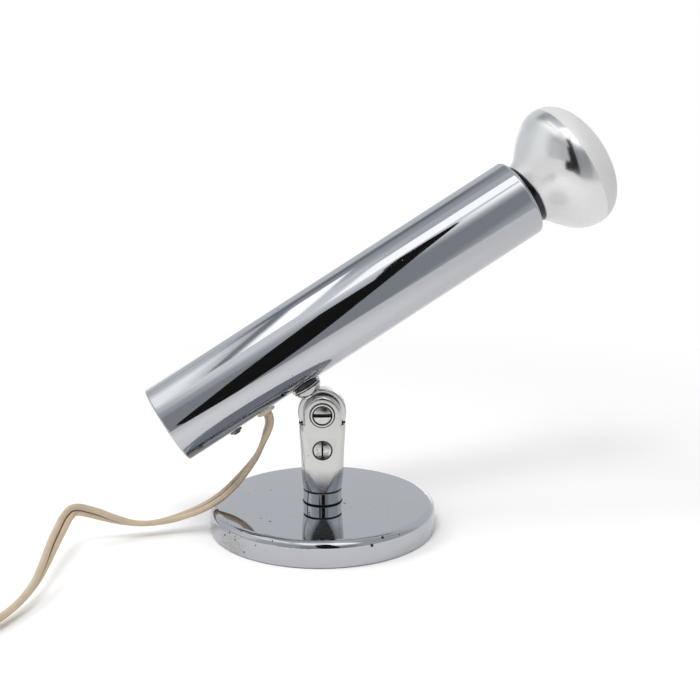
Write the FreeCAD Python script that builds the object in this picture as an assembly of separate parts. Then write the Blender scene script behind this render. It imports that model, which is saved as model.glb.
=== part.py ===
"""Desk spotlight: a chrome tube with a reflector bulb, on a knuckle swivel and a weighted round base.

Millimetres. The origin is the centre of the base's underside, on the table. +Z is up, +X is the way
the knuckle tips the lamp's bulb end, and the knuckle's pivot lies along Y, with its screw heads at -Y.
The shapes stand as the lamp is left: bulb end raised by TILT, and the tube turned by TURN on its stud.
"""
import FreeCAD, Part
import math
import os

Vector = FreeCAD.Vector
Placement = FreeCAD.Placement
Rotation = FreeCAD.Rotation
X_AXIS = Vector(1, 0, 0)
Y_AXIS = Vector(0, 1, 0)
Z_AXIS = Vector(0, 0, 1)
ORIGIN = Vector(0, 0, 0)
TOLERANCE = 0.01

# ---- radial gaps: threads drawn as plain shanks, parts slipped over a shank, turning fits
THREAD_FIT = 0.02
SLIDE_FIT = 0.1
SWIVEL_FIT = 0.05

# ---- the pose the lamp is left in, degrees
TILT = 31.3
TURN = 10.0

# ---- base
BASE_RADIUS = 53.5
BASE_HEIGHT = 12.2
BASE_RIM = 3.5
COVER_WALL = 1.0
COVER_LIFT = 0.5
FELT_RADIUS = 52.2
FELT_THICKNESS = 1.5
WEIGHT_RADIUS = 50.5
WEIGHT_TOP = 11.0
RECESS_RADIUS = 12.0
RECESS_TOP = 6.6

# ---- swivel stem that ties the knuckle to the base
STEM_RADIUS = 3.95
STEM_END = 2.6
STEM_HEAD_RADIUS = 5.7
STEM_HEAD_BOTTOM = 22.6
STEM_HEAD_TOP = 25.6
BASE_WASHER_RADIUS = 9.0
BASE_WASHER_THICKNESS = 1.0
BASE_NUT_ACROSS = 13.0
BASE_NUT_HEIGHT = 3.0
COLLAR_RADIUS = 9.1
COLLAR_HEIGHT = 6.2
EDGE_BREAK = 0.4

# ---- knuckle yoke, two clamshell halves
YOKE_BOTTOM = 18.7
SHOULDER = 51.4
PIVOT_HEIGHT = 56.3
YOKE_SECTIONS = [
    # height, width, depth, corner radius
    (YOKE_BOTTOM, 18.1, 17.9, 8.6),
    (22.0, 18.9, 17.75, 7.0),
    (26.0, 19.5, 17.6, 5.4),
    (30.5, 19.9, 17.4, 4.6),
    (39.5, 20.6, 16.8, 4.3),
    (SHOULDER, 21.7, 16.6, 3.6),
]
SEAM_GAP = 0.2
CHEEK_RADIUS = 9.05
CHEEK_FACE = 8.3
CHEEK_INNER = 4.3
CHEEK_ROUND = 1.8
EYE_POCKET_RADIUS = 11.9
STEM_POCKET_RADIUS = 6.0
STEM_POCKET_BOTTOM = 21.4
STEM_POCKET_TOP = 26.0
SPRING_THICKNESS = 0.8

# ---- knuckle screws
PIVOT_SHANK = 2.5
CLAMP_SHANK = 2.0
CLAMP_BELOW_PIVOT = 16.9
SCREW_HEAD = 4.35
SCREW_HEAD_HEIGHT = 1.6
SCREW_DOME = 0.45
PIVOT_HEAD_PROUD = 0.1
CLAMP_HEAD_PROUD = -0.1
COUNTERBORE = 4.5
PIVOT_SLOT = 1.4
CLAMP_SLOT = 0.9
SLOT_DEPTH = 1.1
CUP_RADIUS = 5.6
CUP_PROUD = 0.6
PIVOT_NUT_ACROSS = 8.0
CLAMP_NUT_ACROSS = 7.0
NUT_INNER = 5.3
NUT_OUTER = 8.1

# ---- swivel eye: disc between the cheeks, flared neck and the stud into the tube
EYE_RADIUS = 11.3
EYE_HALF_THICKNESS = 3.5
EYE_ROUND = 0.8
NECK_START = 9.6
NECK_RADIUS = 5.2
FLANGE_RADIUS = 6.9
FLANGE_TOP = 13.3
NECK_FLATS = 5.6
STUD_RADIUS = 3.9
FRICTION_WASHER_RADIUS = 8.4
FRICTION_WASHER_THICKNESS = 0.5
TOOTH_WASHER_RADIUS = 6.6
TOOTH_WASHER_THICKNESS = 0.8
TOOTH_COUNT = 18
DISC_WASHER_RADIUS = 7.4
DISC_WASHER_THICKNESS = 0.4
SADDLE_RADIUS = 5.9

# ---- lamp tube; stations run along its axis from the stud, bulb end positive
TUBE_RADIUS = 19.05
TUBE_WALL = 1.2
LIP_ROLL = 2.0
TUBE_AXIS_ABOVE_PIVOT = 34.3
BACK_END = -63.2
MOUTH = 133.65
CAP_PLATE = 1.0
CAP_SKIRT = 8.0
CAP_SKIRT_WALL = 0.9
CAP_ROUND = 0.9
STUD_END_BELOW_AXIS = 8.6
BRACKET_FOOT_BELOW_AXIS = 15.2
BRACKET_THICKNESS = 1.6
BRACKET_WIDTH = 14.0
BRACKET_LEG_STATION = 60.0
BRACKET_LEG_TOP = 9.0
STUD_NUT_HEIGHT = 4.0
INNER_SADDLE_RADIUS = 7.0

# ---- cord bushing and push switch on the tube's underside
BUSHING_STATION = -22.0
BUSHING_FLANGE_RADIUS = 4.6
BUSHING_BARREL_RADIUS = 4.0
BUSHING_PROUD = 1.25
CORD_WIDTH = 6.0
CORD_THICKNESS = 3.0
INNER_CORD_END = -10.5
WIRE_RADIUS = 0.9
SWITCH_STATION = -38.5
SWITCH_NECK_RADIUS = 2.45
SWITCH_RING_RADIUS = 3.1
SWITCH_RING_PROUD = 1.15
BUTTON_RADIUS = 1.85
BUTTON_PROUD = 0.9
SWITCH_BODY_LENGTH = 13.0
SWITCH_BODY_WIDTH = 10.0
SWITCH_BODY_HEIGHT = 12.0
SWITCH_BODY_BELOW_AXIS = 16.8
SWITCH_SPRING_BOTTOM = -13.8
SWITCH_SPRING_TOP = -10.4
SWITCH_SPRING_RADIUS = 1.35
SWITCH_SPRING_WIRE = 0.2

# ---- lamp socket
NIPPLE_RADIUS = 4.85
NIPPLE_BORE = 3.6
NIPPLE_START = 54.5
NIPPLE_NUT_ACROSS = 14.0
NIPPLE_NUT_THICKNESS = 3.0
SOCKET_BACK = 65.0
SOCKET_FRONT = 111.65
SOCKET_RADIUS = 16.5
SOCKET_BORE = 14.8
SOCKET_FLOOR = 75.5
SHELL_RADIUS = 14.4
SHELL_WALL = 0.5
SHELL_FLOOR_HOLE = 9.4
SHELL_START = 79.0
SHELL_END = 108.0
TERMINAL_OFFSET = 11.0
TERMINAL_HEAD = 1.5
TERMINAL_SHANK = 1.5
TERMINAL_END = 70.5

# ---- reflector bulb
BULB_TIP = 77.15
BULB_SHELL_START = 80.6
BULB_SHELL_END = 101.5
BULB_SHELL_RADIUS = 13.15
BULB_SHELL_WALL = 0.3
THREAD_DEPTH = 1.1
THREAD_PITCH = 3.6
THREAD_TURNS = 4
BULB_CONTACT_RADIUS = 4.6
BULB_APEX = 42.7
FILAMENT_HEIGHT = 14.6
FILAMENT_HALF_LENGTH = 6.5
GLASS_WALL = 0.8

# ---- mains cord: where it lies, from just below its bushing to the put-away coil
CORD_ROUTE = [
    (-22.3, -2.6, 43.8), (-26.3, 1.8, 36.6), (-33.0, 3.6, 30.8), (-41.0, 1.8, 26.6), (-49.5, -2.4, 23.2),
    (-58.5, -6.0, 18.6), (-67.0, -8.2, 12.6), (-76.0, -10.2, 7.8), (-86.0, -13.6, 6.8), (-95.5, -17.0, 10.0),
    (-104.5, -20.0, 14.6), (-112.6, -23.6, 18.2), (-114.6, -31.6, 17.2), (-115.2, -41.5, 15.4),
    (-116.4, -53.5, 13.2), (-117.0, -67.0, 10.6), (-118.6, -80.5, 7.6), (-122.4, -93.5, 5.2),
    (-127.6, -106.2, 3.9), (-135.2, -118.4, 3.3), (-144.8, -129.6, 3.2), (-156.0, -139.0, 3.2),
]
CORD_STRAIGHT_EXIT = 7.0
CORD_RADIUS = 3.0
BEND_SHARE = 0.45
COIL_CENTRE_X = -177.5
COIL_CENTRE_Y = -109.5
COIL_MIDDLE_RADIUS = 33.0
COIL_HALF_WIDTH = 6.6
COIL_BOTTOM = 0.1
COIL_TOP = 12.6
TAIL_ROUTE = [(-213.6, -109.5, 4.9), (-214.5, -99.5, 4.9), (-218.0, -90.2, 4.9)]
PLUG_LENGTH = 24.0
PLUG_WIDTH = 18.0
PLUG_THICKNESS = 9.4
PLUG_NECK = 6.6
BLADE_SPACING = 12.7
BLADE_WIDTH = 6.3
BLADE_THICKNESS = 1.5
BLADE_LENGTH = 16.0

# ---- general shapes
def up(height):
    """A point on the Z axis."""
    return Vector(0, 0, height)


def placed(shape, placement):
    """A copy of the shape, moved by the placement."""
    moved = shape.copy()
    moved.Placement = placement.multiply(moved.Placement)
    return moved


def fused(*shapes):
    """One clean solid made of several that touch."""
    whole = shapes[0].multiFuse(list(shapes[1:]))
    return whole.removeSplitter()


def rod(radius, start, end):
    """A round bar from one point to another."""
    run = end - start
    return Part.makeCylinder(radius, run.Length, start, run)


def ring(outer, inner, start, end):
    """A round bar with a round hole right through it."""
    overrun = (end - start).normalize() * 1.0
    return rod(outer, start, end).cut(rod(inner, start - overrun, end + overrun))


def hexagon(across, start, end):
    """A six-sided bar, given its size across the flats."""
    run = end - start
    corner = across / math.sqrt(3)
    points = []
    for index in range(7):
        angle = math.radians(60 * index)
        points.append(Vector(corner * math.cos(angle), corner * math.sin(angle), 0))
    bar = Part.Face(Part.makePolygon(points)).extrude(up(run.Length))
    return placed(bar, Placement(start, Rotation(Z_AXIS, run)))


def hex_nut(across, hole, start, end):
    """A hexagon nut with its two faces' corners turned off."""
    run = end - start
    washer_face = rod(across * 0.56, start, end)
    overrun = Vector(run).normalize()
    return hexagon(across, start, end).common(washer_face).cut(rod(hole, start - overrun, end + overrun))


def turned(*steps):
    """A solid turned about Z from (radius, height) steps; a step of two points is an arc through them."""
    def at(point):
        return Vector(point[0], 0, point[1])

    edges = []
    here = steps[0]
    for step in list(steps[1:]) + [steps[0]]:
        if isinstance(step[0], tuple):
            middle, end = step
            edges.append(Part.Arc(at(here), at(middle), at(end)).toShape())
        else:
            end = step
            edges.append(Part.LineSegment(at(here), at(end)).toShape())
        here = end
    return Part.Face(Part.Wire(edges)).revolve(ORIGIN, Z_AXIS, 360)


def along_tube(shape):
    """Lay a shape turned about Z along the tube's axis, so heights become stations."""
    return placed(shape, Placement(ORIGIN, Rotation(Y_AXIS, 90)))


def corner_point(centre, radius, angle):
    """The (radius, height) point on a round corner at an angle from the radial direction, degrees."""
    turn = math.radians(angle)
    return (centre[0] + radius * math.cos(turn), centre[1] + radius * math.sin(turn))


def rounded_rectangle(width, depth, corner, height):
    """A level rectangle outline with round corners, centred on Z."""
    half_x = width / 2
    half_y = depth / 2
    edges = []
    for quadrant in range(4):
        start_turn = 90 * quadrant
        sign_x = 1 if quadrant in (0, 3) else -1
        sign_y = 1 if quadrant in (0, 1) else -1
        centre = Vector(sign_x * (half_x - corner), sign_y * (half_y - corner), height)
        arc = []
        for angle in (start_turn, start_turn + 45, start_turn + 90):
            turn = math.radians(angle)
            arc.append(centre + Vector(corner * math.cos(turn), corner * math.sin(turn), 0))
        if edges:
            edges.append(Part.LineSegment(last, arc[0]).toShape())
        else:
            first = arc[0]
        edges.append(Part.Arc(*arc).toShape())
        last = arc[2]
    edges.append(Part.LineSegment(last, first).toShape())
    return Part.Wire(edges)


def bent_path(points, report=None):
    """Straight runs joined by tangent arcs, each arc as large as its two runs allow."""
    edges = []
    radii = []
    start = points[0]
    for before, corner, after in zip(points, points[1:], points[2:]):
        incoming = corner - before
        outgoing = after - corner
        half_turn = incoming.getAngle(outgoing) / 2
        setback = BEND_SHARE * min(incoming.Length, outgoing.Length)
        bend = setback / math.tan(half_turn)
        radii.append(bend)
        incoming.normalize()
        outgoing.normalize()
        inward = (outgoing - incoming).normalize()
        arc_start = corner - incoming * setback
        arc_end = corner + outgoing * setback
        arc_middle = corner + inward * (bend / math.cos(half_turn) - bend)
        edges.append(Part.LineSegment(start, arc_start).toShape())
        edges.append(Part.Arc(arc_start, arc_middle, arc_end).toShape())
        start = arc_end
    edges.append(Part.LineSegment(start, points[-1]).toShape())
    if report:
        print(report, "bend radii, mm:", " ".join("%.0f" % bend for bend in radii))
    return Part.Wire(edges)


def round_tube(points, radius, report=None):
    """A solid round tube along a bent path."""
    path = bent_path(points, report)
    section = Part.Wire(Part.makeCircle(radius, points[0], points[1] - points[0]))
    tube = path.makePipeShell([section], True, False)
    if report:
        share = tube.Volume / (math.pi * radius ** 2 * path.Length)
        print(report, "length %.1f mm, volume / (section x length) %.3f" % (path.Length, share))
    return tube


# ---- frames of the moving pieces
AT_PIVOT = Placement(up(PIVOT_HEIGHT), Rotation(Y_AXIS, -TILT))
ON_STUD = AT_PIVOT.multiply(Placement(ORIGIN, Rotation(Z_AXIS, TURN)))
IN_TUBE = ON_STUD.multiply(Placement(up(TUBE_AXIS_ABOVE_PIVOT), Rotation()))


# ---- base
def base_cover():
    """Pressed chrome dish over the weight, with a rounded top rim."""
    corner = (BASE_RADIUS - BASE_RIM, BASE_HEIGHT - BASE_RIM)
    inner_rim = BASE_RIM - COVER_WALL
    return turned(
        (BASE_RADIUS, COVER_LIFT),
        (BASE_RADIUS, corner[1]),
        (corner_point(corner, BASE_RIM, 45), (corner[0], BASE_HEIGHT)),
        (STEM_RADIUS + 0.2, BASE_HEIGHT),
        (STEM_RADIUS + 0.2, BASE_HEIGHT - COVER_WALL),
        (corner[0], BASE_HEIGHT - COVER_WALL),
        (corner_point(corner, inner_rim, 45), (BASE_RADIUS - COVER_WALL, corner[1])),
        (BASE_RADIUS - COVER_WALL, COVER_LIFT),
    )


def base_weight():
    """Cast-iron disc with a recess underneath for the stem's nut."""
    return turned(
        (STEM_RADIUS + 0.3, WEIGHT_TOP),
        (WEIGHT_RADIUS, WEIGHT_TOP),
        (WEIGHT_RADIUS, FELT_THICKNESS),
        (RECESS_RADIUS, FELT_THICKNESS),
        (RECESS_RADIUS, RECESS_TOP),
        (STEM_RADIUS + 0.3, RECESS_TOP),
    )


def base_felt():
    """Felt disc the lamp stands on."""
    return rod(FELT_RADIUS, ORIGIN, up(FELT_THICKNESS))


def base_washer():
    """Plain washer between the weight and the stem's nut."""
    bottom = RECESS_TOP - BASE_WASHER_THICKNESS
    return ring(BASE_WASHER_RADIUS, STEM_RADIUS + SLIDE_FIT, up(bottom), up(RECESS_TOP))


def base_nut():
    """Hexagon nut that draws the stem down."""
    top = RECESS_TOP - BASE_WASHER_THICKNESS
    return hex_nut(BASE_NUT_ACROSS, STEM_RADIUS + THREAD_FIT, up(top - BASE_NUT_HEIGHT), up(top))


def swivel_stem():
    """Bolt-like stem: shank through base and collar, head held inside the yoke."""
    return turned(
        (0, STEM_END),
        (STEM_RADIUS - EDGE_BREAK, STEM_END),
        (STEM_RADIUS, STEM_END + EDGE_BREAK),
        (STEM_RADIUS, STEM_HEAD_BOTTOM),
        (STEM_HEAD_RADIUS, STEM_HEAD_BOTTOM),
        (STEM_HEAD_RADIUS, STEM_HEAD_TOP - EDGE_BREAK),
        (STEM_HEAD_RADIUS - EDGE_BREAK, STEM_HEAD_TOP),
        (0, STEM_HEAD_TOP),
    )


def collar_ring():
    """Chrome spacer ring between the base and the yoke."""
    top = BASE_HEIGHT + COLLAR_HEIGHT
    return turned(
        (STEM_RADIUS + SLIDE_FIT, BASE_HEIGHT),
        (COLLAR_RADIUS - EDGE_BREAK, BASE_HEIGHT),
        (COLLAR_RADIUS, BASE_HEIGHT + EDGE_BREAK),
        (COLLAR_RADIUS, top - EDGE_BREAK),
        (COLLAR_RADIUS - EDGE_BREAK, top),
        (STEM_RADIUS + SLIDE_FIT, top),
    )


# ---- yoke
def at_pivot_height(x, y):
    """A point level with the pivot."""
    return Vector(x, y, PIVOT_HEIGHT)


def at_clamp_height(x, y):
    """A point level with the clamp screw."""
    return Vector(x, y, PIVOT_HEIGHT - CLAMP_BELOW_PIVOT)


def yoke_blank():
    """Both yoke halves as one solid: a body that rounds off towards the foot, and two cheeks."""
    outlines = []
    for height, width, depth, corner in YOKE_SECTIONS:
        outlines.append(rounded_rectangle(width, depth, corner, height))
    body = Part.makeLoft(outlines, True, False)
    cheek = rod(CHEEK_RADIUS, at_pivot_height(0, -CHEEK_FACE), at_pivot_height(0, CHEEK_FACE))
    root = Part.makeBox(2 * CHEEK_RADIUS, 2 * CHEEK_FACE, PIVOT_HEIGHT - SHOULDER + 6,
                        Vector(-CHEEK_RADIUS, -CHEEK_FACE, SHOULDER - 6))
    cheeks = fused(cheek, root)
    outer_edges = []
    for edge in cheeks.Edges:
        box = edge.BoundBox
        if box.YLength < TOLERANCE and box.ZMax > SHOULDER:
            outer_edges.append(edge)
    return fused(body, cheeks.makeFillet(CHEEK_ROUND, outer_edges))


def yoke_half(side):
    """One half of the yoke; side is -1 for the half with the screw heads, +1 for the one with the nuts."""
    keep = Part.makeBox(60, 30, 80, Vector(-30, SEAM_GAP / 2 if side > 0 else -30 - SEAM_GAP / 2, 0))
    half = yoke_blank().common(keep)
    eye_pocket = rod(EYE_POCKET_RADIUS, at_pivot_height(0, -CHEEK_INNER), at_pivot_height(0, CHEEK_INNER))
    head_way = Part.makeBox(40, 2 * CHEEK_INNER, 20, Vector(-20, -CHEEK_INNER, PIVOT_HEIGHT))
    stem_bore = rod(STEM_RADIUS + SWIVEL_FIT, up(YOKE_BOTTOM - 1), up(STEM_POCKET_TOP))
    stem_pocket = rod(STEM_POCKET_RADIUS, up(STEM_POCKET_BOTTOM), up(STEM_POCKET_TOP))
    cutters = [eye_pocket, head_way, stem_bore, stem_pocket]
    for level, shank, across in ((at_pivot_height, PIVOT_SHANK, PIVOT_NUT_ACROSS),
                                 (at_clamp_height, CLAMP_SHANK, CLAMP_NUT_ACROSS)):
        cutters.append(rod(shank + THREAD_FIT, level(0, -20), level(0, 20)))
        if side < 0:
            cutters.append(rod(COUNTERBORE, level(0, -20), level(0, -CHEEK_FACE + SCREW_HEAD_HEIGHT)))
        else:
            cutters.append(hexagon(across + 0.2, level(0, NUT_INNER), level(0, 20)))
    if side < 0:
        cutters.append(rod(CUP_RADIUS, at_pivot_height(0, -20), at_pivot_height(0, -CHEEK_FACE)))
    return half.cut(cutters)


def yoke_front_half():
    return yoke_half(-1)


def yoke_back_half():
    return yoke_half(1)


def slotted_screw(shank, level, tip, slot_along, slot_width, proud):
    """Screw along Y with its slotted, slightly domed head at -Y."""
    rim = CHEEK_FACE + proud
    underside = CHEEK_FACE - SCREW_HEAD_HEIGHT
    head = turned(
        (0, underside),
        (SCREW_HEAD, underside),
        (SCREW_HEAD, rim),
        ((SCREW_HEAD / 2, rim + SCREW_DOME * 0.75), (0, rim + SCREW_DOME)),
    )
    head = placed(head, Placement(level(0, 0), Rotation(X_AXIS, 90)))
    top = -rim - SCREW_DOME
    if slot_along == X_AXIS:
        slot = Part.makeBox(20, SLOT_DEPTH, slot_width, level(-10, top) - up(slot_width / 2))
    else:
        slot = Part.makeBox(slot_width, SLOT_DEPTH, 20, level(-slot_width / 2, top) - up(10))
    return fused(head.cut(slot), rod(shank, level(0, -underside), level(0, tip)))


def pivot_screw():
    """Screw the head tilts on, its slot level."""
    return slotted_screw(PIVOT_SHANK, at_pivot_height, NUT_OUTER, X_AXIS, PIVOT_SLOT, PIVOT_HEAD_PROUD)


def clamp_screw():
    """Screw that clamps the halves together, nearly flush, its slot upright."""
    return slotted_screw(CLAMP_SHANK, at_clamp_height, NUT_OUTER, Z_AXIS, CLAMP_SLOT, CLAMP_HEAD_PROUD)


def pivot_cup_ring():
    """Bright raised ring round the pivot screw's head."""
    face = -CHEEK_FACE - CUP_PROUD
    cup = ring(CUP_RADIUS, COUNTERBORE, at_pivot_height(0, face), at_pivot_height(0, -CHEEK_FACE))
    return cup.makeFillet(0.28, [edge for edge in cup.Edges if edge.BoundBox.YMax < face + TOLERANCE])


def knuckle_nuts():
    """Two hexagon nuts sunk in the back half."""
    nuts = []
    for level, shank, across in ((at_pivot_height, PIVOT_SHANK, PIVOT_NUT_ACROSS),
                                 (at_clamp_height, CLAMP_SHANK, CLAMP_NUT_ACROSS)):
        nuts.append(hex_nut(across, shank + THREAD_FIT, level(0, NUT_INNER), level(0, NUT_OUTER)))
    return Part.makeCompound(nuts)


def friction_washers():
    """Two fibre washers between the eye and the cheeks."""
    washers = []
    for side in (-1, 1):
        inner = at_pivot_height(0, side * (CHEEK_INNER - FRICTION_WASHER_THICKNESS))
        outer = at_pivot_height(0, side * CHEEK_INNER)
        washers.append(ring(FRICTION_WASHER_RADIUS, PIVOT_SHANK + SLIDE_FIT, inner, outer))
    return Part.makeCompound(washers)


def spring_washer():
    """Split spring washer under the stem's head, which gives the base swivel its drag."""
    bottom = STEM_POCKET_BOTTOM
    washer = ring(STEM_HEAD_RADIUS, STEM_RADIUS + 0.35, up(bottom), up(bottom + SPRING_THICKNESS))
    return washer.cut(Part.makeBox(8, 0.6, 3, Vector(0, -0.3, bottom - 1)))


# ---- eye and washers, in the pivot's frame with the stud upright
def swivel_eye():
    """Eye disc on the pivot, flared neck with two flats, and the threaded stud."""
    disc = rod(EYE_RADIUS, Vector(0, -EYE_HALF_THICKNESS, 0), Vector(0, EYE_HALF_THICKNESS, 0))
    disc = disc.makeFillet(EYE_ROUND, [edge for edge in disc.Edges if edge.BoundBox.YLength < TOLERANCE])
    root = rod(NECK_RADIUS, up(EYE_HALF_THICKNESS), up(NECK_START + 0.5))
    between_cheeks = Part.makeBox(40, 2 * EYE_HALF_THICKNESS, 60, Vector(-20, -EYE_HALF_THICKNESS, -10))
    neck = turned(
        (0, NECK_START),
        (NECK_RADIUS, NECK_START),
        (NECK_RADIUS, NECK_START + 0.7),
        (FLANGE_RADIUS, FLANGE_TOP - 0.7),
        (FLANGE_RADIUS, FLANGE_TOP),
        (STUD_RADIUS, FLANGE_TOP),
        (STUD_RADIUS, TUBE_AXIS_ABOVE_PIVOT - STUD_END_BELOW_AXIS - EDGE_BREAK),
        (STUD_RADIUS - EDGE_BREAK, TUBE_AXIS_ABOVE_PIVOT - STUD_END_BELOW_AXIS),
        (0, TUBE_AXIS_ABOVE_PIVOT - STUD_END_BELOW_AXIS),
    )
    flats = Part.makeBox(40, 2 * NECK_FLATS, 60, Vector(-20, -NECK_FLATS, -10))
    bore = rod(PIVOT_SHANK + SWIVEL_FIT, Vector(0, -10, 0), Vector(0, 10, 0))
    return placed(fused(disc, root.common(between_cheeks), neck.common(flats)).cut(bore), AT_PIVOT)


def tube_solid(radius):
    """The tube's round form as a bar, for fitting washers to it."""
    return rod(radius, Vector(-60, 0, 0), Vector(60, 0, 0))


def tooth_washer():
    """Dark lock washer with teeth round its rim, between the neck and the saddle."""
    bottom = up(FLANGE_TOP)
    top = up(FLANGE_TOP + TOOTH_WASHER_THICKNESS)
    washer = ring(TOOTH_WASHER_RADIUS, STUD_RADIUS + SLIDE_FIT, bottom, top)
    notch = Part.makeBox(1.6, 0.8, 3, Vector(TOOTH_WASHER_RADIUS - 1.0, -0.4, FLANGE_TOP - 1))
    notches = []
    for index in range(TOOTH_COUNT):
        notches.append(placed(notch, Placement(ORIGIN, Rotation(Z_AXIS, 360 / TOOTH_COUNT * index))))
    return placed(washer.cut(notches), ON_STUD)


def disc_washer():
    """Thin bright washer between the lock washer and the saddle."""
    bottom = FLANGE_TOP + TOOTH_WASHER_THICKNESS
    top = bottom + DISC_WASHER_THICKNESS
    return placed(ring(DISC_WASHER_RADIUS, STUD_RADIUS + SLIDE_FIT, up(bottom), up(top)), ON_STUD)


def saddle_washer():
    """Black saddle, flat below and hollowed to the tube's round above."""
    bottom = FLANGE_TOP + TOOTH_WASHER_THICKNESS + DISC_WASHER_THICKNESS - TUBE_AXIS_ABOVE_PIVOT
    block = ring(SADDLE_RADIUS, STUD_RADIUS + SLIDE_FIT, up(bottom), up(bottom + 6))
    return placed(block.cut(tube_solid(TUBE_RADIUS)), IN_TUBE)


# ---- lamp tube, in the tube's frame
def lamp_tube():
    """Chrome tube, its mouth rolled in, with three holes along its underside."""
    rear = BACK_END + CAP_PLATE
    lip = (TUBE_RADIUS - LIP_ROLL, MOUTH - LIP_ROLL)
    inner_roll = LIP_ROLL - TUBE_WALL
    wall = turned(
        (TUBE_RADIUS - TUBE_WALL, rear),
        (TUBE_RADIUS, rear),
        (TUBE_RADIUS, lip[1]),
        (corner_point(lip, LIP_ROLL, 45), (lip[0], MOUTH)),
        (lip[0], MOUTH - TUBE_WALL),
        (corner_point(lip, inner_roll, 45), (TUBE_RADIUS - TUBE_WALL, lip[1])),
    )
    holes = []
    for along, radius in ((0, STUD_RADIUS + SLIDE_FIT),
                          (BUSHING_STATION, BUSHING_BARREL_RADIUS + THREAD_FIT),
                          (SWITCH_STATION, SWITCH_NECK_RADIUS + SWIVEL_FIT)):
        holes.append(rod(radius, Vector(along, 0, -TUBE_RADIUS - 2), Vector(along, 0, -TUBE_RADIUS / 2)))
    return placed(along_tube(wall).cut(holes), IN_TUBE)


def back_cap():
    """Pressed-in chrome end cap with a rounded edge and a skirt inside the tube."""
    seat = BACK_END + CAP_PLATE
    skirt_outer = TUBE_RADIUS - TUBE_WALL
    corner = (TUBE_RADIUS - CAP_ROUND, BACK_END + CAP_ROUND)
    cap = turned(
        (0, BACK_END),
        (corner[0], BACK_END),
        (corner_point(corner, CAP_ROUND, -45), (TUBE_RADIUS, corner[1])),
        (TUBE_RADIUS, seat),
        (skirt_outer, seat),
        (skirt_outer, seat + CAP_SKIRT),
        (skirt_outer - CAP_SKIRT_WALL, seat + CAP_SKIRT),
        (skirt_outer - CAP_SKIRT_WALL, seat),
        (0, seat),
    )
    return placed(along_tube(cap), IN_TUBE)


def stud_washer():
    """Saddle inside the tube, round below and flat above."""
    block = ring(INNER_SADDLE_RADIUS, STUD_RADIUS + SLIDE_FIT, up(-TUBE_RADIUS), up(-BRACKET_FOOT_BELOW_AXIS))
    return placed(block.common(tube_solid(TUBE_RADIUS - TUBE_WALL)), IN_TUBE)


def stud_nut():
    """Hexagon nut on the stud, inside the tube."""
    bottom = -BRACKET_FOOT_BELOW_AXIS + BRACKET_THICKNESS
    nut = hex_nut(BASE_NUT_ACROSS, STUD_RADIUS + THREAD_FIT, up(bottom), up(bottom + STUD_NUT_HEIGHT))
    return placed(nut, IN_TUBE)


def socket_bracket():
    """Bent strap: its foot under the stud's nut, its leg across the tube behind the socket."""
    half = BRACKET_WIDTH / 2
    bottom = -BRACKET_FOOT_BELOW_AXIS
    foot = Part.makeBox(BRACKET_LEG_STATION + 9, BRACKET_WIDTH, BRACKET_THICKNESS, Vector(-9, -half, bottom))
    leg_corner = Vector(BRACKET_LEG_STATION, -half, bottom)
    leg = Part.makeBox(BRACKET_THICKNESS, BRACKET_WIDTH, BRACKET_LEG_TOP - bottom, leg_corner)
    strap = fused(foot, leg)
    stud_hole = rod(STUD_RADIUS + SLIDE_FIT, up(-30), up(0))
    nipple_hole = rod(NIPPLE_RADIUS + SLIDE_FIT, Vector(50, 0, 0), Vector(70, 0, 0))
    return placed(strap.cut([stud_hole, nipple_hole]), IN_TUBE)


# ---- bushing and switch, in the tube's frame
def cord_bushing():
    """Cream bushing with a flat slot for the cord and a flange hollowed to the tube."""
    face = -TUBE_RADIUS - BUSHING_PROUD
    inner = -TUBE_RADIUS + TUBE_WALL + 2.2
    centre = Vector(BUSHING_STATION, 0, 0)
    flange = rod(BUSHING_FLANGE_RADIUS, centre + up(face), centre + up(-TUBE_RADIUS + 1))
    rim = [edge for edge in flange.Edges if edge.BoundBox.ZMax < face + TOLERANCE]
    flange = flange.makeFillet(0.5, rim).cut(tube_solid(TUBE_RADIUS))
    barrel = rod(BUSHING_BARREL_RADIUS, centre + up(face + 0.6), centre + up(inner))
    return placed(fused(flange, barrel).cut(cord_slug(0.15, face - 1, inner + 1)), IN_TUBE)


def cord_slug(margin, bottom, top):
    """Flat twin cord standing in its bushing, or the slot for it with a margin all round."""
    lobe = CORD_THICKNESS / 2 + margin
    offset = (CORD_WIDTH - CORD_THICKNESS) / 2
    pieces = []
    for side in (-1, 1):
        foot = Vector(BUSHING_STATION, side * offset, bottom)
        pieces.append(rod(lobe, foot, foot + up(top - bottom)))
    web = Part.makeBox(2 * lobe, 2 * offset, top - bottom, Vector(BUSHING_STATION - lobe, -offset, bottom))
    return fused(web, *pieces)


def inner_cord():
    """End of the flat cord inside the tube, where its two leads part."""
    return placed(cord_slug(0, -TUBE_RADIUS - BUSHING_PROUD, INNER_CORD_END), IN_TUBE)


def switch_body():
    """Sealed push switch inside the tube, with a hollow neck through the wall."""
    axis = Vector(SWITCH_STATION, 0, 0)
    corner = axis - Vector(SWITCH_BODY_LENGTH / 2, SWITCH_BODY_WIDTH / 2, SWITCH_BODY_BELOW_AXIS)
    box = Part.makeBox(SWITCH_BODY_LENGTH, SWITCH_BODY_WIDTH, SWITCH_BODY_HEIGHT, corner)
    box = box.makeFillet(0.8, [edge for edge in box.Edges if edge.BoundBox.ZLength > 1])
    neck_end = axis + up(-TUBE_RADIUS - SWITCH_RING_PROUD + 0.2)
    neck = rod(SWITCH_NECK_RADIUS, neck_end, axis + up(-SWITCH_BODY_BELOW_AXIS + 1))
    bore = rod(BUTTON_RADIUS + SLIDE_FIT, neck_end - Z_AXIS, axis + up(SWITCH_SPRING_TOP))
    return placed(fused(box, neck).cut(bore), IN_TUBE)


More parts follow.
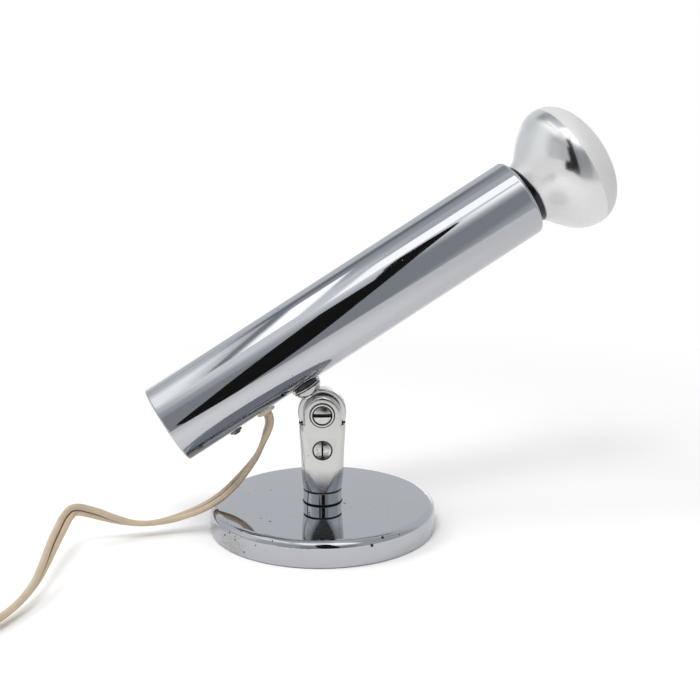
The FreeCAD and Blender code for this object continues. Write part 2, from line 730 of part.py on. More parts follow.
def switch_ring():
    """Chrome ring nut round the push button, hollowed to the tube."""
    outer_face = Vector(SWITCH_STATION, 0, -TUBE_RADIUS - SWITCH_RING_PROUD)
    nut = rod(SWITCH_RING_RADIUS, outer_face, outer_face + up(2))
    nut = nut.makeFillet(0.3, [edge for edge in nut.Edges if edge.BoundBox.ZMax < outer_face.z + TOLERANCE])
    hole = rod(SWITCH_NECK_RADIUS + THREAD_FIT, outer_face - Z_AXIS, outer_face + up(4))
    return placed(nut.cut([hole, tube_solid(TUBE_RADIUS)]), IN_TUBE)


def switch_button():
    """Push button that stands out of the ring and slides into the tube."""
    face = Vector(SWITCH_STATION, 0, -TUBE_RADIUS - SWITCH_RING_PROUD - BUTTON_PROUD)
    button = rod(BUTTON_RADIUS, face, Vector(SWITCH_STATION, 0, SWITCH_SPRING_BOTTOM))
    rim = [edge for edge in button.Edges if edge.BoundBox.ZMax < face.z + TOLERANCE]
    return placed(button.makeFillet(0.4, rim), IN_TUBE)


def switch_spring():
    """Coil spring between the button and the blind end of the switch's bore."""
    bottom = SWITCH_SPRING_BOTTOM + SWITCH_SPRING_WIRE
    height = SWITCH_SPRING_TOP - SWITCH_SPRING_WIRE - bottom
    coil = Part.makeHelix(height / 4.5, height, SWITCH_SPRING_RADIUS)
    section = Part.Wire(Part.makeCircle(SWITCH_SPRING_WIRE, Vector(SWITCH_SPRING_RADIUS, 0, 0), Y_AXIS))
    spring = Part.Wire(coil).makePipeShell([section], True, True)
    return placed(spring, IN_TUBE.multiply(Placement(Vector(SWITCH_STATION, 0, bottom), Rotation())))


# ---- socket, in the tube's frame
def station(x, y=0, z=0):
    """A point in the tube's frame."""
    return Vector(x, y, z)


def socket_nipple():
    """Hollow threaded nipple between the bracket and the socket."""
    return placed(ring(NIPPLE_RADIUS, NIPPLE_BORE, station(NIPPLE_START), station(SOCKET_BACK + 5)), IN_TUBE)


def nipple_nuts():
    """Two thin nuts that clamp the bracket's leg."""
    leg_front = BRACKET_LEG_STATION + BRACKET_THICKNESS
    nuts = []
    for start in (BRACKET_LEG_STATION - NIPPLE_NUT_THICKNESS, leg_front):
        end = start + NIPPLE_NUT_THICKNESS
        nuts.append(hex_nut(NIPPLE_NUT_ACROSS, NIPPLE_RADIUS + THREAD_FIT, station(start), station(end)))
    return placed(Part.makeCompound(nuts), IN_TUBE)


def socket_body():
    """Black moulded socket: domed back, bore for the screw shell, holes for nipple and terminals."""
    body = turned(
        (NIPPLE_RADIUS + THREAD_FIT, SOCKET_BACK),
        (SOCKET_RADIUS - 3, SOCKET_BACK),
        (corner_point((SOCKET_RADIUS - 3, SOCKET_BACK + 3), 3, -45), (SOCKET_RADIUS, SOCKET_BACK + 3)),
        (SOCKET_RADIUS, SOCKET_FRONT),
        (SOCKET_BORE, SOCKET_FRONT),
        (SOCKET_BORE, SOCKET_FLOOR),
        (NIPPLE_BORE, SOCKET_FLOOR),
        (NIPPLE_BORE, SOCKET_BACK + 5),
        (NIPPLE_RADIUS + THREAD_FIT, SOCKET_BACK + 5),
    )
    holes = []
    for side in (-1, 1):
        offset = side * TERMINAL_OFFSET
        ends = station(SOCKET_BACK - 1, offset), station(TERMINAL_END + 1, offset)
        holes.append(rod(TERMINAL_SHANK + SLIDE_FIT, *ends))
    return placed(along_tube(body).cut(holes), IN_TUBE)


def socket_shell():
    """Brass screw shell inside the socket's bore, with a floor that has a wide hole."""
    shell = turned(
        (SHELL_RADIUS, SHELL_START),
        (SHELL_RADIUS, SHELL_END),
        (SHELL_RADIUS - SHELL_WALL, SHELL_END),
        (SHELL_RADIUS - SHELL_WALL, SHELL_START + SHELL_WALL),
        (SHELL_FLOOR_HOLE, SHELL_START + SHELL_WALL),
        (SHELL_FLOOR_HOLE, SHELL_START),
    )
    return placed(along_tube(shell), IN_TUBE)


def socket_contact():
    """Sprung brass tongue that touches the bulb's tip."""
    pad = Part.makeBox(1.2, 6, 11, station(SOCKET_FLOOR, -3, -5.5))
    return placed(pad, IN_TUBE)


def terminal_screws():
    """Two round-head terminal screws in the socket's back."""
    screws = []
    for side in (-1, 1):
        offset = side * TERMINAL_OFFSET
        head = rod(2.4, station(SOCKET_BACK - TERMINAL_HEAD, offset), station(SOCKET_BACK, offset))
        slot = Part.makeBox(0.7, 6, 0.7, station(SOCKET_BACK - TERMINAL_HEAD - 0.1, offset - 3, -0.35))
        shank = rod(TERMINAL_SHANK, station(SOCKET_BACK, offset), station(TERMINAL_END, offset))
        screws.append(fused(head.cut(slot), shank))
    return placed(Part.makeCompound(screws), IN_TUBE)


def lead_wires():
    """Three leads: cord to switch, switch to socket, cord to socket."""
    lobe = (CORD_WIDTH - CORD_THICKNESS) / 2
    switch_rear = SWITCH_STATION + SWITCH_BODY_LENGTH / 2
    screw_face = SOCKET_BACK - TERMINAL_HEAD
    cord_to_switch = [
        (BUSHING_STATION, -lobe, INNER_CORD_END), (BUSHING_STATION, -lobe, -8.2),
        (BUSHING_STATION - 2.4, -2.2, -6.4), (switch_rear + 4.5, -3, -7.0), (switch_rear, -3, -7.0),
    ]
    switch_to_socket = [
        (switch_rear, 3, -6.5), (switch_rear + 6, 3, -6.5), (-17, 7.5, -1), (-2, 10.5, 1), (20, 11.5, 0),
        (42, 11.8, 1), (screw_face - 8, TERMINAL_OFFSET, 0), (screw_face, TERMINAL_OFFSET, 0),
    ]
    cord_to_socket = [
        (BUSHING_STATION, lobe, INNER_CORD_END), (BUSHING_STATION, lobe, -6.0),
        (BUSHING_STATION + 5, -3.5, -0.5), (-4, -9.5, 2), (20, -11.5, 3), (42, -12, 1),
        (screw_face - 8, -TERMINAL_OFFSET, 0), (screw_face, -TERMINAL_OFFSET, 0),
    ]
    wires = []
    for route in (cord_to_switch, switch_to_socket, cord_to_socket):
        wires.append(round_tube([Vector(*point) for point in route], WIRE_RADIUS))
    return placed(Part.makeCompound(wires), IN_TUBE)


# ---- bulb, in the tube's frame
def bulb_outline(inset):
    """(radius, station) points of the bulb's glass from its neck to its crown, moved inwards by inset."""
    neck = [(12.6, BULB_SHELL_END - 4.0), (12.9, BULB_SHELL_END + 2.0), (13.4, MOUTH - 16.0),
            (13.7, MOUTH - 5.0), (14.0, MOUTH)]
    flare = [(15.6, MOUTH + 4.0), (19.4, MOUTH + 8.0), (24.2, MOUTH + 12.2), (27.6, MOUTH + 16.2)]
    widest = [(29.8, MOUTH + 20.4), (30.8, MOUTH + 25.0), (30.6, MOUTH + 28.4), (29.6, MOUTH + 31.6)]
    crown = [(27.5, MOUTH + 34.7), (23.8, MOUTH + 37.8), (17.6, MOUTH + 40.7), (9.4, MOUTH + 42.3),
             (0.0, MOUTH + BULB_APEX)]
    profile = neck + flare + widest + crown
    moved = []
    for index, (radius, height) in enumerate(profile):
        before = profile[max(index - 1, 0)]
        after = profile[min(index + 1, len(profile) - 1)]
        along = Vector(after[0] - before[0], after[1] - before[1], 0).normalize()
        if index == len(profile) - 1:
            along = Vector(-1, 0, 0)
        moved.append((max(radius - inset * along.y, 0.0), height + inset * along.x))
    return moved


def bulb_curve(inset):
    """The outline as one smooth curve in the XZ plane, level where it crosses the axis."""
    points = [Vector(radius, 0, height) for radius, height in bulb_outline(inset)]
    curve = Part.BSplineCurve()
    curve.interpolate(Points=points, InitialTangent=up(1), FinalTangent=Vector(-1, 0, 0))
    return curve.toShape(), points[0], points[-1]


def bulb_glass():
    """Reflector bulb's glass shell, silvered behind and frosted in front."""
    outer, outer_foot, outer_crown = bulb_curve(0)
    inner, inner_foot, inner_crown = bulb_curve(GLASS_WALL)
    crown = Part.LineSegment(outer_crown, inner_crown).toShape()
    foot = Part.LineSegment(inner_foot, outer_foot).toShape()
    section = Part.Face(Part.Wire([outer, crown, inner, foot]))
    return placed(along_tube(section.revolve(ORIGIN, Z_AXIS, 360)), IN_TUBE)


def bulb_shell():
    """The bulb's screw base shell: rolled threads, and a plain collar round the glass neck."""
    valley = BULB_SHELL_RADIUS - THREAD_DEPTH
    inner = valley - BULB_SHELL_WALL
    height = BULB_SHELL_START + 0.8
    steps = [(valley, BULB_SHELL_START), (valley, height)]
    for _ in range(THREAD_TURNS):
        steps.append(((BULB_SHELL_RADIUS, height + THREAD_PITCH / 2), (valley, height + THREAD_PITCH)))
        height += THREAD_PITCH
    steps.append((BULB_SHELL_RADIUS, height + 1.0))
    steps.append((BULB_SHELL_RADIUS, BULB_SHELL_END))
    steps.append((BULB_SHELL_RADIUS - BULB_SHELL_WALL, BULB_SHELL_END))
    steps.append((BULB_SHELL_RADIUS - BULB_SHELL_WALL, height + 1.4))
    steps.append((inner, height + 0.4))
    steps.append((inner, BULB_SHELL_START))
    return placed(along_tube(turned(*steps)), IN_TUBE)


def bulb_insulator():
    """Black glass cone between the screw shell and the contact."""
    bore = BULB_SHELL_RADIUS - THREAD_DEPTH - BULB_SHELL_WALL
    cone = turned(
        (0, BULB_SHELL_START + 1),
        (bore, BULB_SHELL_START + 1),
        (bore, BULB_SHELL_START),
        (BULB_CONTACT_RADIUS, BULB_TIP + 1.0),
        (0, BULB_TIP + 1.0),
    )
    return placed(along_tube(cone), IN_TUBE)


def bulb_contact():
    """Solder contact at the bulb's tip."""
    corner = (BULB_CONTACT_RADIUS - 1.0, BULB_TIP + 1.0)
    button = turned(
        (0, BULB_TIP),
        (corner[0], BULB_TIP),
        (corner_point(corner, 1.0, -45), (BULB_CONTACT_RADIUS, corner[1])),
        (0, corner[1]),
    )
    return placed(along_tube(button), IN_TUBE)


def bulb_stem():
    """Glass stem that carries the filament's two support wires."""
    foot = BULB_SHELL_END - 4.0
    tip = MOUTH + 2.0
    stem = turned((0, foot), (11.3, foot), (11.3, foot + 1.0), (3.2, foot + 9.0), (2.4, tip), (0, tip))
    supports = []
    for side in (-1, 1):
        end = station(MOUTH + FILAMENT_HEIGHT - 0.55, side * FILAMENT_HALF_LENGTH)
        supports.append(rod(0.35, station(tip - 6, side * 1.6), end))
    return placed(fused(along_tube(stem), *supports), IN_TUBE)


def bulb_filament():
    """Tungsten coil between the support wires' tips."""
    height = MOUTH + FILAMENT_HEIGHT
    ends = station(height, -FILAMENT_HALF_LENGTH), station(height, FILAMENT_HALF_LENGTH)
    return placed(rod(0.45, *ends), IN_TUBE)


# ---- mains cord, coil and plug
def cord_exit():
    """Where the cord leaves its bushing, and the way it points there."""
    face = Vector(BUSHING_STATION, 0, -TUBE_RADIUS - BUSHING_PROUD - 0.05)
    return IN_TUBE.multVec(face), IN_TUBE.Rotation.multVec(up(-1))


def cord():
    """The cord as a plain round tube, from its bushing to the coil."""
    start, heading = cord_exit()
    points = [start, start + heading * CORD_STRAIGHT_EXIT] + [Vector(*point) for point in CORD_ROUTE]
    return round_tube(points, CORD_RADIUS, "cord")


def cord_coil():
    """The put-away length as one plain ring of its outer shape."""
    outline = turned(
        (COIL_MIDDLE_RADIUS - COIL_HALF_WIDTH, COIL_BOTTOM),
        (COIL_MIDDLE_RADIUS + COIL_HALF_WIDTH, COIL_BOTTOM),
        (COIL_MIDDLE_RADIUS + COIL_HALF_WIDTH, COIL_TOP),
        (COIL_MIDDLE_RADIUS - COIL_HALF_WIDTH, COIL_TOP),
    )
    coil = placed(outline, Placement(Vector(COIL_CENTRE_X, COIL_CENTRE_Y, 0), Rotation()))
    return coil.cut([cord(), cord_tail()])


def cord_tail():
    """Short end of the cord between the coil and the plug."""
    return round_tube([Vector(*point) for point in TAIL_ROUTE], CORD_RADIUS, "cord tail")


def in_plug(shape):
    """Move a shape drawn along +X from the origin to the end of the cord's tail."""
    end = Vector(*TAIL_ROUTE[-1])
    return placed(shape, Placement(end, Rotation(X_AXIS, end - Vector(*TAIL_ROUTE[-2]))))


def plug_body():
    """Moulded flat plug body that widens from the cord to the blades."""
    neck = rounded_rectangle(PLUG_NECK, PLUG_NECK, 1.5, 0)
    waist = rounded_rectangle(PLUG_THICKNESS * 0.9, PLUG_WIDTH * 0.8, 2.5, PLUG_LENGTH * 0.4)
    face = rounded_rectangle(PLUG_THICKNESS, PLUG_WIDTH, 2.5, PLUG_LENGTH)
    body = Part.makeLoft([neck, waist, face], True, True)
    return in_plug(placed(body, Placement(ORIGIN, Rotation(Y_AXIS, 90))))


def plug_blades():
    """Two flat brass blades."""
    blades = []
    for side in (-1, 1):
        corner = Vector(PLUG_LENGTH, side * BLADE_SPACING / 2 - BLADE_THICKNESS / 2, -BLADE_WIDTH / 2)
        blades.append(Part.makeBox(BLADE_LENGTH, BLADE_THICKNESS, BLADE_WIDTH, corner))
    return in_plug(Part.makeCompound(blades))


SUB_PARTS = [
    base_cover, base_weight, base_felt, base_washer, base_nut, swivel_stem, collar_ring,
    yoke_front_half, yoke_back_half, pivot_screw, clamp_screw, pivot_cup_ring, knuckle_nuts,
    friction_washers, spring_washer, swivel_eye, tooth_washer, disc_washer, saddle_washer,
    lamp_tube, back_cap, stud_washer, stud_nut, socket_bracket, cord_bushing, inner_cord,
    switch_body, switch_ring, switch_button, switch_spring, socket_nipple, nipple_nuts,
    socket_body, socket_shell, socket_contact, terminal_screws, lead_wires,
    bulb_glass, bulb_shell, bulb_insulator, bulb_contact, bulb_stem, bulb_filament,
    cord, cord_coil, cord_tail, plug_body, plug_blades,
]


def main():
    """Write one STEP file per sub-part."""
    os.makedirs("parts", exist_ok=True)
    for make in SUB_PARTS:
        shape = make()
        if not shape.isValid():
            raise ValueError(make.__name__ + " is not a valid shape")
        shape.exportStep("parts/%s.step" % make.__name__)
        print("%-18s %2d solids %10.1f mm3" % (make.__name__, len(shape.Solids), shape.Volume))
    print("cord leaves at", cord_exit()[0])
    print("button slides along", IN_TUBE.Rotation.multVec(Z_AXIS))


main()
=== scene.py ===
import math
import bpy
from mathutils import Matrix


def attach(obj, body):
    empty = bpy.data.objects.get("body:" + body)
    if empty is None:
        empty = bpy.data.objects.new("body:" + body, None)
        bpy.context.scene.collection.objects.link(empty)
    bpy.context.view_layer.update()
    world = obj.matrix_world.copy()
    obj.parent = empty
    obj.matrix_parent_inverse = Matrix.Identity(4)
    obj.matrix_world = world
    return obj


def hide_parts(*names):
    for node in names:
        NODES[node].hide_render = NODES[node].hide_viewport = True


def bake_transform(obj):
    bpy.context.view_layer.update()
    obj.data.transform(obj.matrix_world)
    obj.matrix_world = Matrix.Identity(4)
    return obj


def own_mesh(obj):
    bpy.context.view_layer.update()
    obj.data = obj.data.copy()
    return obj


bl_info = {
    "name": "Desk Spotlight Lamp",
    "version": (1, 0, 0),
    "blender": (4, 5, 0),
    "location": "3D View > Sidebar > Spotlight",
    "description": "Dresses a chrome tube spotlight on its knuckle, with the flat mains cord and studio",
    "category": "Object",
}

from functools import cache

import bpy
import numpy as np
from bpy.props import FloatProperty, FloatVectorProperty, PointerProperty

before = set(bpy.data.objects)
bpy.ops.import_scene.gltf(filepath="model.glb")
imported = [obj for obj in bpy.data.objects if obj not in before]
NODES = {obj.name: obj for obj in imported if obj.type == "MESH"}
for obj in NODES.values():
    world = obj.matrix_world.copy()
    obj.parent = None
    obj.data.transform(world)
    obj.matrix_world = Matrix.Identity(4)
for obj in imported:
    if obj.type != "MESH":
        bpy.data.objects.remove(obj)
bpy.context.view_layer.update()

# ---- the tube, from the part's source, in metres and radians: a point on its axis, the axis, the way up
# across it, and the turn that lays the plate's wiping lines along it
TUBE_POINT = (-0.0178195, 0.0, 0.0856079)
TUBE_AXIS = (0.841478, 0.173648, 0.511626)
TUBE_UP = (-0.519519, 0.0, 0.854459)
TUBE_TURN = (0.0, -0.53706, 0.20350)

# ---- the bulb: the tube's mouth along the axis, and from there the end of the neck's painted dark reflection and the frosted edge
MOUTH = 0.13365
NECK_EDGE = 0.0040
BULB_EDGE = 0.0270
# above this height the end of the neck's painted dark reflection leans back by a share of the rise
NECK_HEIGHT = 0.1560
NECK_LEAN = 0.14
# its clearest place, the reach over which it clouds, and the heights between which milky turns to silver
BULB_CLEAR = (0.1135, -0.0015, 0.1745)
BULB_CLOUDS = (0.003, 0.026)
BULB_SILVERS = (0.155, 0.171)

# ---- the knuckle: its screws, the upper one's ring and its half slot painted dark as shade, and the depths behind which the screws are painted dark as shade
SCREW_HEIGHTS = (0.0563, 0.0394)
SCREW_RADIUS = 0.00435
CUP_RADIUS = 0.0056
SLOT_HALF = 0.0008
SCREW_BACK = (-0.0082, -0.0079)
# heights between which the foot's painted pale reflection ends, the dull foot ends, the rubbed top starts
# and the seam ends
FOOT_SHEEN = (0.0210, 0.0275)
FOOT_DULL = (0.0260, 0.0350)
TOP_RUBBED = (0.0595, 0.0635)
SEAM_END = (0.0500, 0.0530)

# ---- the collar and the base
COLLAR_RADIUS = 0.0091
COLLAR_FOOT = 0.0122
COLLAR_TOP = 0.0184
# chips through the base's plate: place and size
BASE_CHIPS = [
    ((0.0260, -0.0460, 0.0116), 0.0009), ((0.0210, -0.0492, 0.0090), 0.0008),
    ((0.0104, -0.0050, 0.0122), 0.0006), ((-0.0251, 0.0146, 0.0122), 0.0004),
    ((-0.0395, -0.0361, 0.0070), 0.0004), ((-0.0444, -0.0298, 0.0069), 0.0005),
    ((-0.0353, -0.0402, 0.0029), 0.0004), ((-0.0420, -0.0330, 0.0092), 0.0004),
]
RUSTY_SPOT = (-0.0420, -0.0335, 0.0070)
RUSTY_REACH = (0.003, 0.015)
RUSTY_TOP = (0.0090, 0.0112)

# near-black: chips and dirty joints, and painted shade in the screw slot and behind the screw heads
DIRT_AND_SHADE = (0.035, 0.028, 0.022, 1.0)
RUST = (0.11, 0.085, 0.065, 1.0)
SEAM_BROWN = (0.20, 0.13, 0.07, 1)
SCREW_TARNISH = (0.16, 0.15, 0.14, 1)
# paler, bluer plate painted on the knuckle's foot as a reflection of the table
FOOT_SHEEN_WHITE = (0.66, 0.68, 0.72, 1)

# ---- the push switch's spring: its ends are heights from the tube's axis, and pressed is the share left
SPRING_STATION = -0.0385
SPRING_BOTTOM = -0.0138
SPRING_TOP = -0.0104
SPRING_RADIUS = 0.00135
SPRING_WIRE = 0.0002
SPRING_TURNS = 4.5
SPRING_POINTS = 145
SPRING_AROUND = 12

# ---- the cord: where and which way it leaves the tube, how far straight, its length, and its route
CORD_EXIT = (-0.025760, -0.003820, 0.056964)
CORD_HEADING = (0.519519, 0.0, -0.854459)
CORD_STRAIGHT = 0.0042
CORD_ROUTE = [
    (-0.0271, -0.0030, 0.0440), (-0.0304, 0.0008, 0.0348), (-0.0349, 0.0027, 0.0281),
    (-0.0401, 0.0005, 0.0222), (-0.0467, -0.0054, 0.0171), (-0.0549, -0.0096, 0.0129),
    (-0.0650, -0.0092, 0.0086), (-0.0756, -0.0112, 0.0062), (-0.0860, -0.0138, 0.0064),
    (-0.0955, -0.0170, 0.0100), (-0.1045, -0.0200, 0.0146), (-0.1126, -0.0236, 0.0182),
    (-0.1146, -0.0316, 0.0172), (-0.1152, -0.0415, 0.0154), (-0.1160, -0.0535, 0.0132),
    (-0.1164, -0.0670, 0.0104), (-0.1176, -0.0805, 0.0072), (-0.1212, -0.0940, 0.0046),
    (-0.1266, -0.1066, 0.0036), (-0.1345, -0.1190, 0.0033), (-0.1440, -0.1300, 0.0033),
]
# its coil, with a lower and an upper layer: the control points stand outside the line by the swell, it
# climbs between two turns, and starts its way out by the lead before the climb's end
COIL_CENTRE = (-0.1775, -0.1095)
COIL_START = -54.0
COIL_TURNS = 7.35
COIL_POINTS = 14
COIL_OUTER = 0.0386
COIL_STEP = 0.00333
COIL_STEP_OUT = COIL_STEP * 0.9
COIL_SWELL = 1.017
COIL_LOWER = 0.0034
COIL_UPPER = 0.0095
COIL_CLIMB = (3.02, 3.52)
COIL_LEAD = 0.07
CORD_TAIL = [
    (-0.2163, -0.1040, 0.0090), (-0.2168, -0.0985, 0.0070), (-0.2175, -0.0935, 0.0054),
    (-0.2180, -0.0902, 0.0049),
]

# how far the cord's far lobe shows beside the near one, by distance along the cord
CORD_TWIST = [
    (0.000, 0.50), (0.010, 0.40), (0.017, 0.03), (0.022, 0.05), (0.030, 0.25), (0.040, 0.55),
    (0.052, 0.62), (0.063, 0.52), (0.075, 0.28), (0.085, 0.02), (0.095, -0.15), (0.102, -0.45),
    (0.111, -0.80), (0.124, -0.92), (0.140, -0.90), (0.154, -0.74), (0.168, -0.36), (0.182, -0.08),
    (0.200, 0.00),
]
CORD_LOOK = (-0.05, 0.945, -0.32)
# where it starts to stand upright and over what length, and the same for lying level before its end
CORD_STANDS = (0.190, 0.070)
CORD_LIES = (0.040, 0.034)
# its section: points, how much they crowd at the edges, the dip between the lobes, the groove's reach
CORD_AROUND = 44
CORD_CROWD = 0.85
CORD_DIP = 0.12
CORD_GROOVE = 0.00032
# painted shade in the groove between the lobes, and the plastic's worn shade as a share of its colour
GROOVE_SHADE = (0.140, 0.058, 0.024, 1)
CORD_WORN = 0.55
MAP_NAME = "along and round"

# ---- the camera: lens and sensor in millimetres, place, tilt from straight down and turn in degrees
CAMERA_LENS = 58.17
CAMERA_SENSOR = 36.0
CAMERA_PLACE = (-0.00458, -0.51169, 0.19993)
CAMERA_TILT = 77.39
CAMERA_TURN = -1.98


# ---- shapes
def unit(rows):
    """Each row divided by its own length."""
    return rows / np.linalg.norm(rows, axis=-1, keepdims=True)


def add_object(name, data):
    """A new object in the scene, with its data."""
    made = bpy.data.objects.new(name, data)
    bpy.context.scene.collection.objects.link(made)
    return made


def line_reach(line):
    """How far along a line each of its points lies: the sum of the steps before it."""
    return np.concatenate([[0.0], np.cumsum(np.linalg.norm(np.diff(line, axis=0), axis=1))])


def ring_faces(count, around):
    """Faces of four points, each between a point, its neighbour round, and both on the next ring."""
    here, along = np.meshgrid(np.arange(around), np.arange(count - 1))
    step = (here + 1) % around
    near = along * around
    far = near + around
    return np.stack([near + here, far + here, far + step, near + step], axis=-1).reshape(-1, 4)


def skin(name, rings, material):
    """Closed tube over rings of points: neighbours on two rings share a face, a fan closes each end.

    The map's first coordinate is metres along the middle line, the second is the share of the way round.
    """
    count, around, _ = rings.shape
    middles = rings.mean(axis=1)
    points = np.concatenate([rings.reshape(-1, 3), middles[:1], middles[-1:]])
    quads = ring_faces(count, around)
    turn = np.arange(around)
    after = (turn + 1) % around
    last = (count - 1) * around
    fans = np.concatenate([
        np.stack([np.full(around, count * around), turn, after], axis=-1),
        np.stack([np.full(around, count * around + 1), last + after, last + turn], axis=-1)])
    inside = points[quads]
    across = np.cross(inside[:, 2] - inside[:, 0], inside[:, 3] - inside[:, 1])
    if np.einsum("ij,ij->", inside.mean(axis=1) - middles.mean(axis=0), across) < 0:
        quads, fans = quads[:, ::-1], fans[:, ::-1]
    mesh = bpy.data.meshes.new(name)
    mesh.from_pydata(points.tolist(), [], quads.tolist() + fans.tolist())
    mesh.update()
    corner = np.concatenate([quads.ravel(), fans.ravel()])
    ring_of = np.minimum(corner // around, count - 1)
    ring_of[corner == count * around] = 0
    share = (corner % around) / around
    fours = share[:quads.size].reshape(-1, 4)
    fours[(fours == 0) & (fours.max(axis=1, keepdims=True) > 0.5)] = 1.0
    layer = mesh.uv_layers.new(name=MAP_NAME)
    layer.data.foreach_set("uv", np.stack([line_reach(middles)[ring_of], share], axis=-1).ravel())
    mesh.polygons.foreach_set("use_smooth", np.ones(len(mesh.polygons), dtype=bool))
    mesh.materials.append(material)
    return add_object(name, mesh)


def coil_points():
    """Turns wound clockwise inwards on the table, then outwards on top of them."""
    turn = np.arange(int(COIL_TURNS * COIL_POINTS) + 1) / COIL_POINTS
    lower_turns = COIL_CLIMB[1] - COIL_LEAD
    radius = COIL_OUTER - COIL_STEP * np.minimum(turn, lower_turns)
    radius = COIL_SWELL * (radius + COIL_STEP_OUT * np.maximum(turn - lower_turns, 0.0))
    rise = np.clip((turn - COIL_CLIMB[0]) / (COIL_CLIMB[1] - COIL_CLIMB[0]), 0.0, 1.0)
    angle = np.radians(COIL_START - 360.0 * turn)
    return np.stack([
        COIL_CENTRE[0] + radius * np.cos(angle), COIL_CENTRE[1] + radius * np.sin(angle),
        COIL_LOWER + (COIL_UPPER - COIL_LOWER) * rise], axis=-1).tolist()


def cord_line():
    """Points read along the smooth spline whose control points are the cord's route, coil and tail."""
    straight = tuple(CORD_EXIT[axis] + CORD_STRAIGHT * CORD_HEADING[axis] for axis in range(3))
    route = [CORD_EXIT, straight] + CORD_ROUTE + coil_points() + CORD_TAIL
    curve = bpy.data.curves.new("cord_line", "CURVE")
    curve.dimensions = "3D"
    curve.resolution_u = 8
    spline = curve.splines.new("NURBS")
    spline.points.add(len(route) - 1)
    spline.points.foreach_set("co", [value for point in route for value in (*point, 1.0)])
    spline.order_u = 3
    spline.use_endpoint_u = True
    holder = add_object("cord_line", curve)
    bpy.context.view_layer.update()
    line = bpy.data.meshes.new_from_object(holder)
    read = np.empty(len(line.vertices) * 3)
    line.vertices.foreach_get("co", read)
    bpy.data.objects.remove(holder)
    bpy.data.meshes.remove(line)
    read = read.reshape(-1, 3)
    apart = np.linalg.norm(np.diff(read, axis=0), axis=1)
    return read[np.concatenate([[True], apart > 1e-6])]


def turned_over(way, target, reach, start, span):
    """A way eased into another by share * share * (3 - 2 * share), from a start and over a span."""
    share = np.clip((reach - start) / span, 0, 1)[:, None]
    share = share * share * (3 - 2 * share)
    return way * (1 - share) + target * share


def cord_rings(line, width, thickness, web):
    """Flat twin section carried along a line.

    The section is round at its two edges, as high as a circle there, dips a little towards the middle,
    and falls by a bell curve into a narrow groove down to the web. Its wide way looks past the lobes as
    the twist table says, stands upright in the coil, and lies level at the plug.
    """
    ahead = unit(np.gradient(line, axis=0))
    reach = line_reach(line)
    look = np.array(CORD_LOOK)
    look = unit(look - ahead * (ahead @ look)[:, None])
    beside = np.cross(look, ahead)
    shown = np.interp(reach, *np.transpose(CORD_TWIST))[:, None]
    wide = look * np.sqrt(1 - shown ** 2) + beside * shown
    upright = np.array([0.0, 0.0, -1.0])
    wide = turned_over(wide, upright, reach, *CORD_STANDS)
    before_end, span = CORD_LIES
    wide = turned_over(wide, np.cross(ahead, upright), reach, reach[-1] - before_end, span)
    wide = unit(wide - ahead * np.einsum("ij,ij->i", wide, ahead)[:, None])
    thin = np.cross(ahead, wide)
    turn = np.linspace(0, 2 * math.pi, CORD_AROUND, endpoint=False)
    lobe = thickness / 2
    offset = width / 2 - lobe
    across = width / 2 * np.sign(np.cos(turn)) * np.abs(np.cos(turn)) ** CORD_CROWD
    over = np.clip((np.abs(across) - offset) / lobe, 0, 1)
    dip = CORD_DIP * np.clip(1 - (across / offset) ** 2, 0, 1)
    high = lobe * (np.sqrt(1 - over ** 2) - dip)
    high = high - (high - web / 2) * np.exp(-(across / CORD_GROOVE) ** 2)
    high = high * np.sign(np.sin(turn))
    high[np.abs(np.sin(turn)) < 1e-9] = 0
    section = wide[:, None, :] * across[None, :, None] + thin[:, None, :] * high[None, :, None]
    return line[:, None, :] + section


def spring_end(height):
    """Point on the spring's axis, by its height from the tube's axis."""
    return np.array(TUBE_POINT) + SPRING_STATION * np.array(TUBE_AXIS) + height * np.array(TUBE_UP)


def spring_rings():
    """Round wire carried along a helix.

    The middle line goes round the spring's axis by equal angles while it rises evenly, and each ring
    lies in the plane of the axis and the line outwards from it.
    """
    up = np.array(TUBE_UP)
    side = np.cross(up, TUBE_AXIS)
    turn = np.linspace(0, 2 * math.pi * SPRING_TURNS, SPRING_POINTS)[:, None]
    outward = np.cos(turn) * np.array(TUBE_AXIS) + np.sin(turn) * side
    room = 1.1 * SPRING_WIRE
    height = np.linspace(SPRING_BOTTOM + room, SPRING_TOP - room, len(turn))[:, None]
    line = spring_end(0.0) + outward * SPRING_RADIUS + height * up
    around = np.linspace(0, 2 * math.pi, SPRING_AROUND, endpoint=False)[None, :, None]
    return line[:, None, :] + SPRING_WIRE * (outward[:, None, :] * np.cos(around) + up * np.sin(around))


# ---- node building
def feed(node, sockets):
    """Each named input of a node set to a value, or linked from another node's output."""
    for name, value in sockets.items():
        if isinstance(value, bpy.types.NodeSocket):
            node.id_data.links.new(value, node.inputs[name])
        else:
            node.inputs[name].default_value = value


def wire(tree, kind, sockets=None, **settings):
    """A new node with its settings, fed with its sockets."""
    made = tree.nodes.new(kind)
    for name, value in settings.items():
        setattr(made, name, value)
    feed(made, sockets or {})
    return made


def joined(kind, sockets, **settings):
    """A new node in the tree of the first output among its sockets."""
    source = next(value for value in sockets.values() if isinstance(value, bpy.types.NodeSocket))
    return wire(source.id_data, kind, sockets, **settings)


def maths(operation, first, second=0.0, third=0.0):
    """A Math node's result."""
    return joined("ShaderNodeMath", {0: first, 1: second, 2: third}, operation=operation).outputs[0]


def times(first, second):
    """A product."""
    return maths("MULTIPLY", first, second)


def added(first, second, third):
    """A product and a third value, added."""
    return maths("MULTIPLY_ADD", first, second, third)


def minus(first, second):
    """A difference."""
    return maths("SUBTRACT", first, second)


def most(shares):
    """The largest of several shares."""
    whole = shares[0]
    for share in shares[1:]:
        whole = maths("MAXIMUM", whole, share)
    return whole


def eased(value, low, high, start=0.0, end=1.0):
    """A value eased from start to end while it runs from low to high."""
    return joined(
        "ShaderNodeMapRange",
        {"Value": value, "From Min": low, "From Max": high, "To Min": start, "To Max": end},
        interpolation_type="SMOOTHSTEP",
    ).outputs[0]


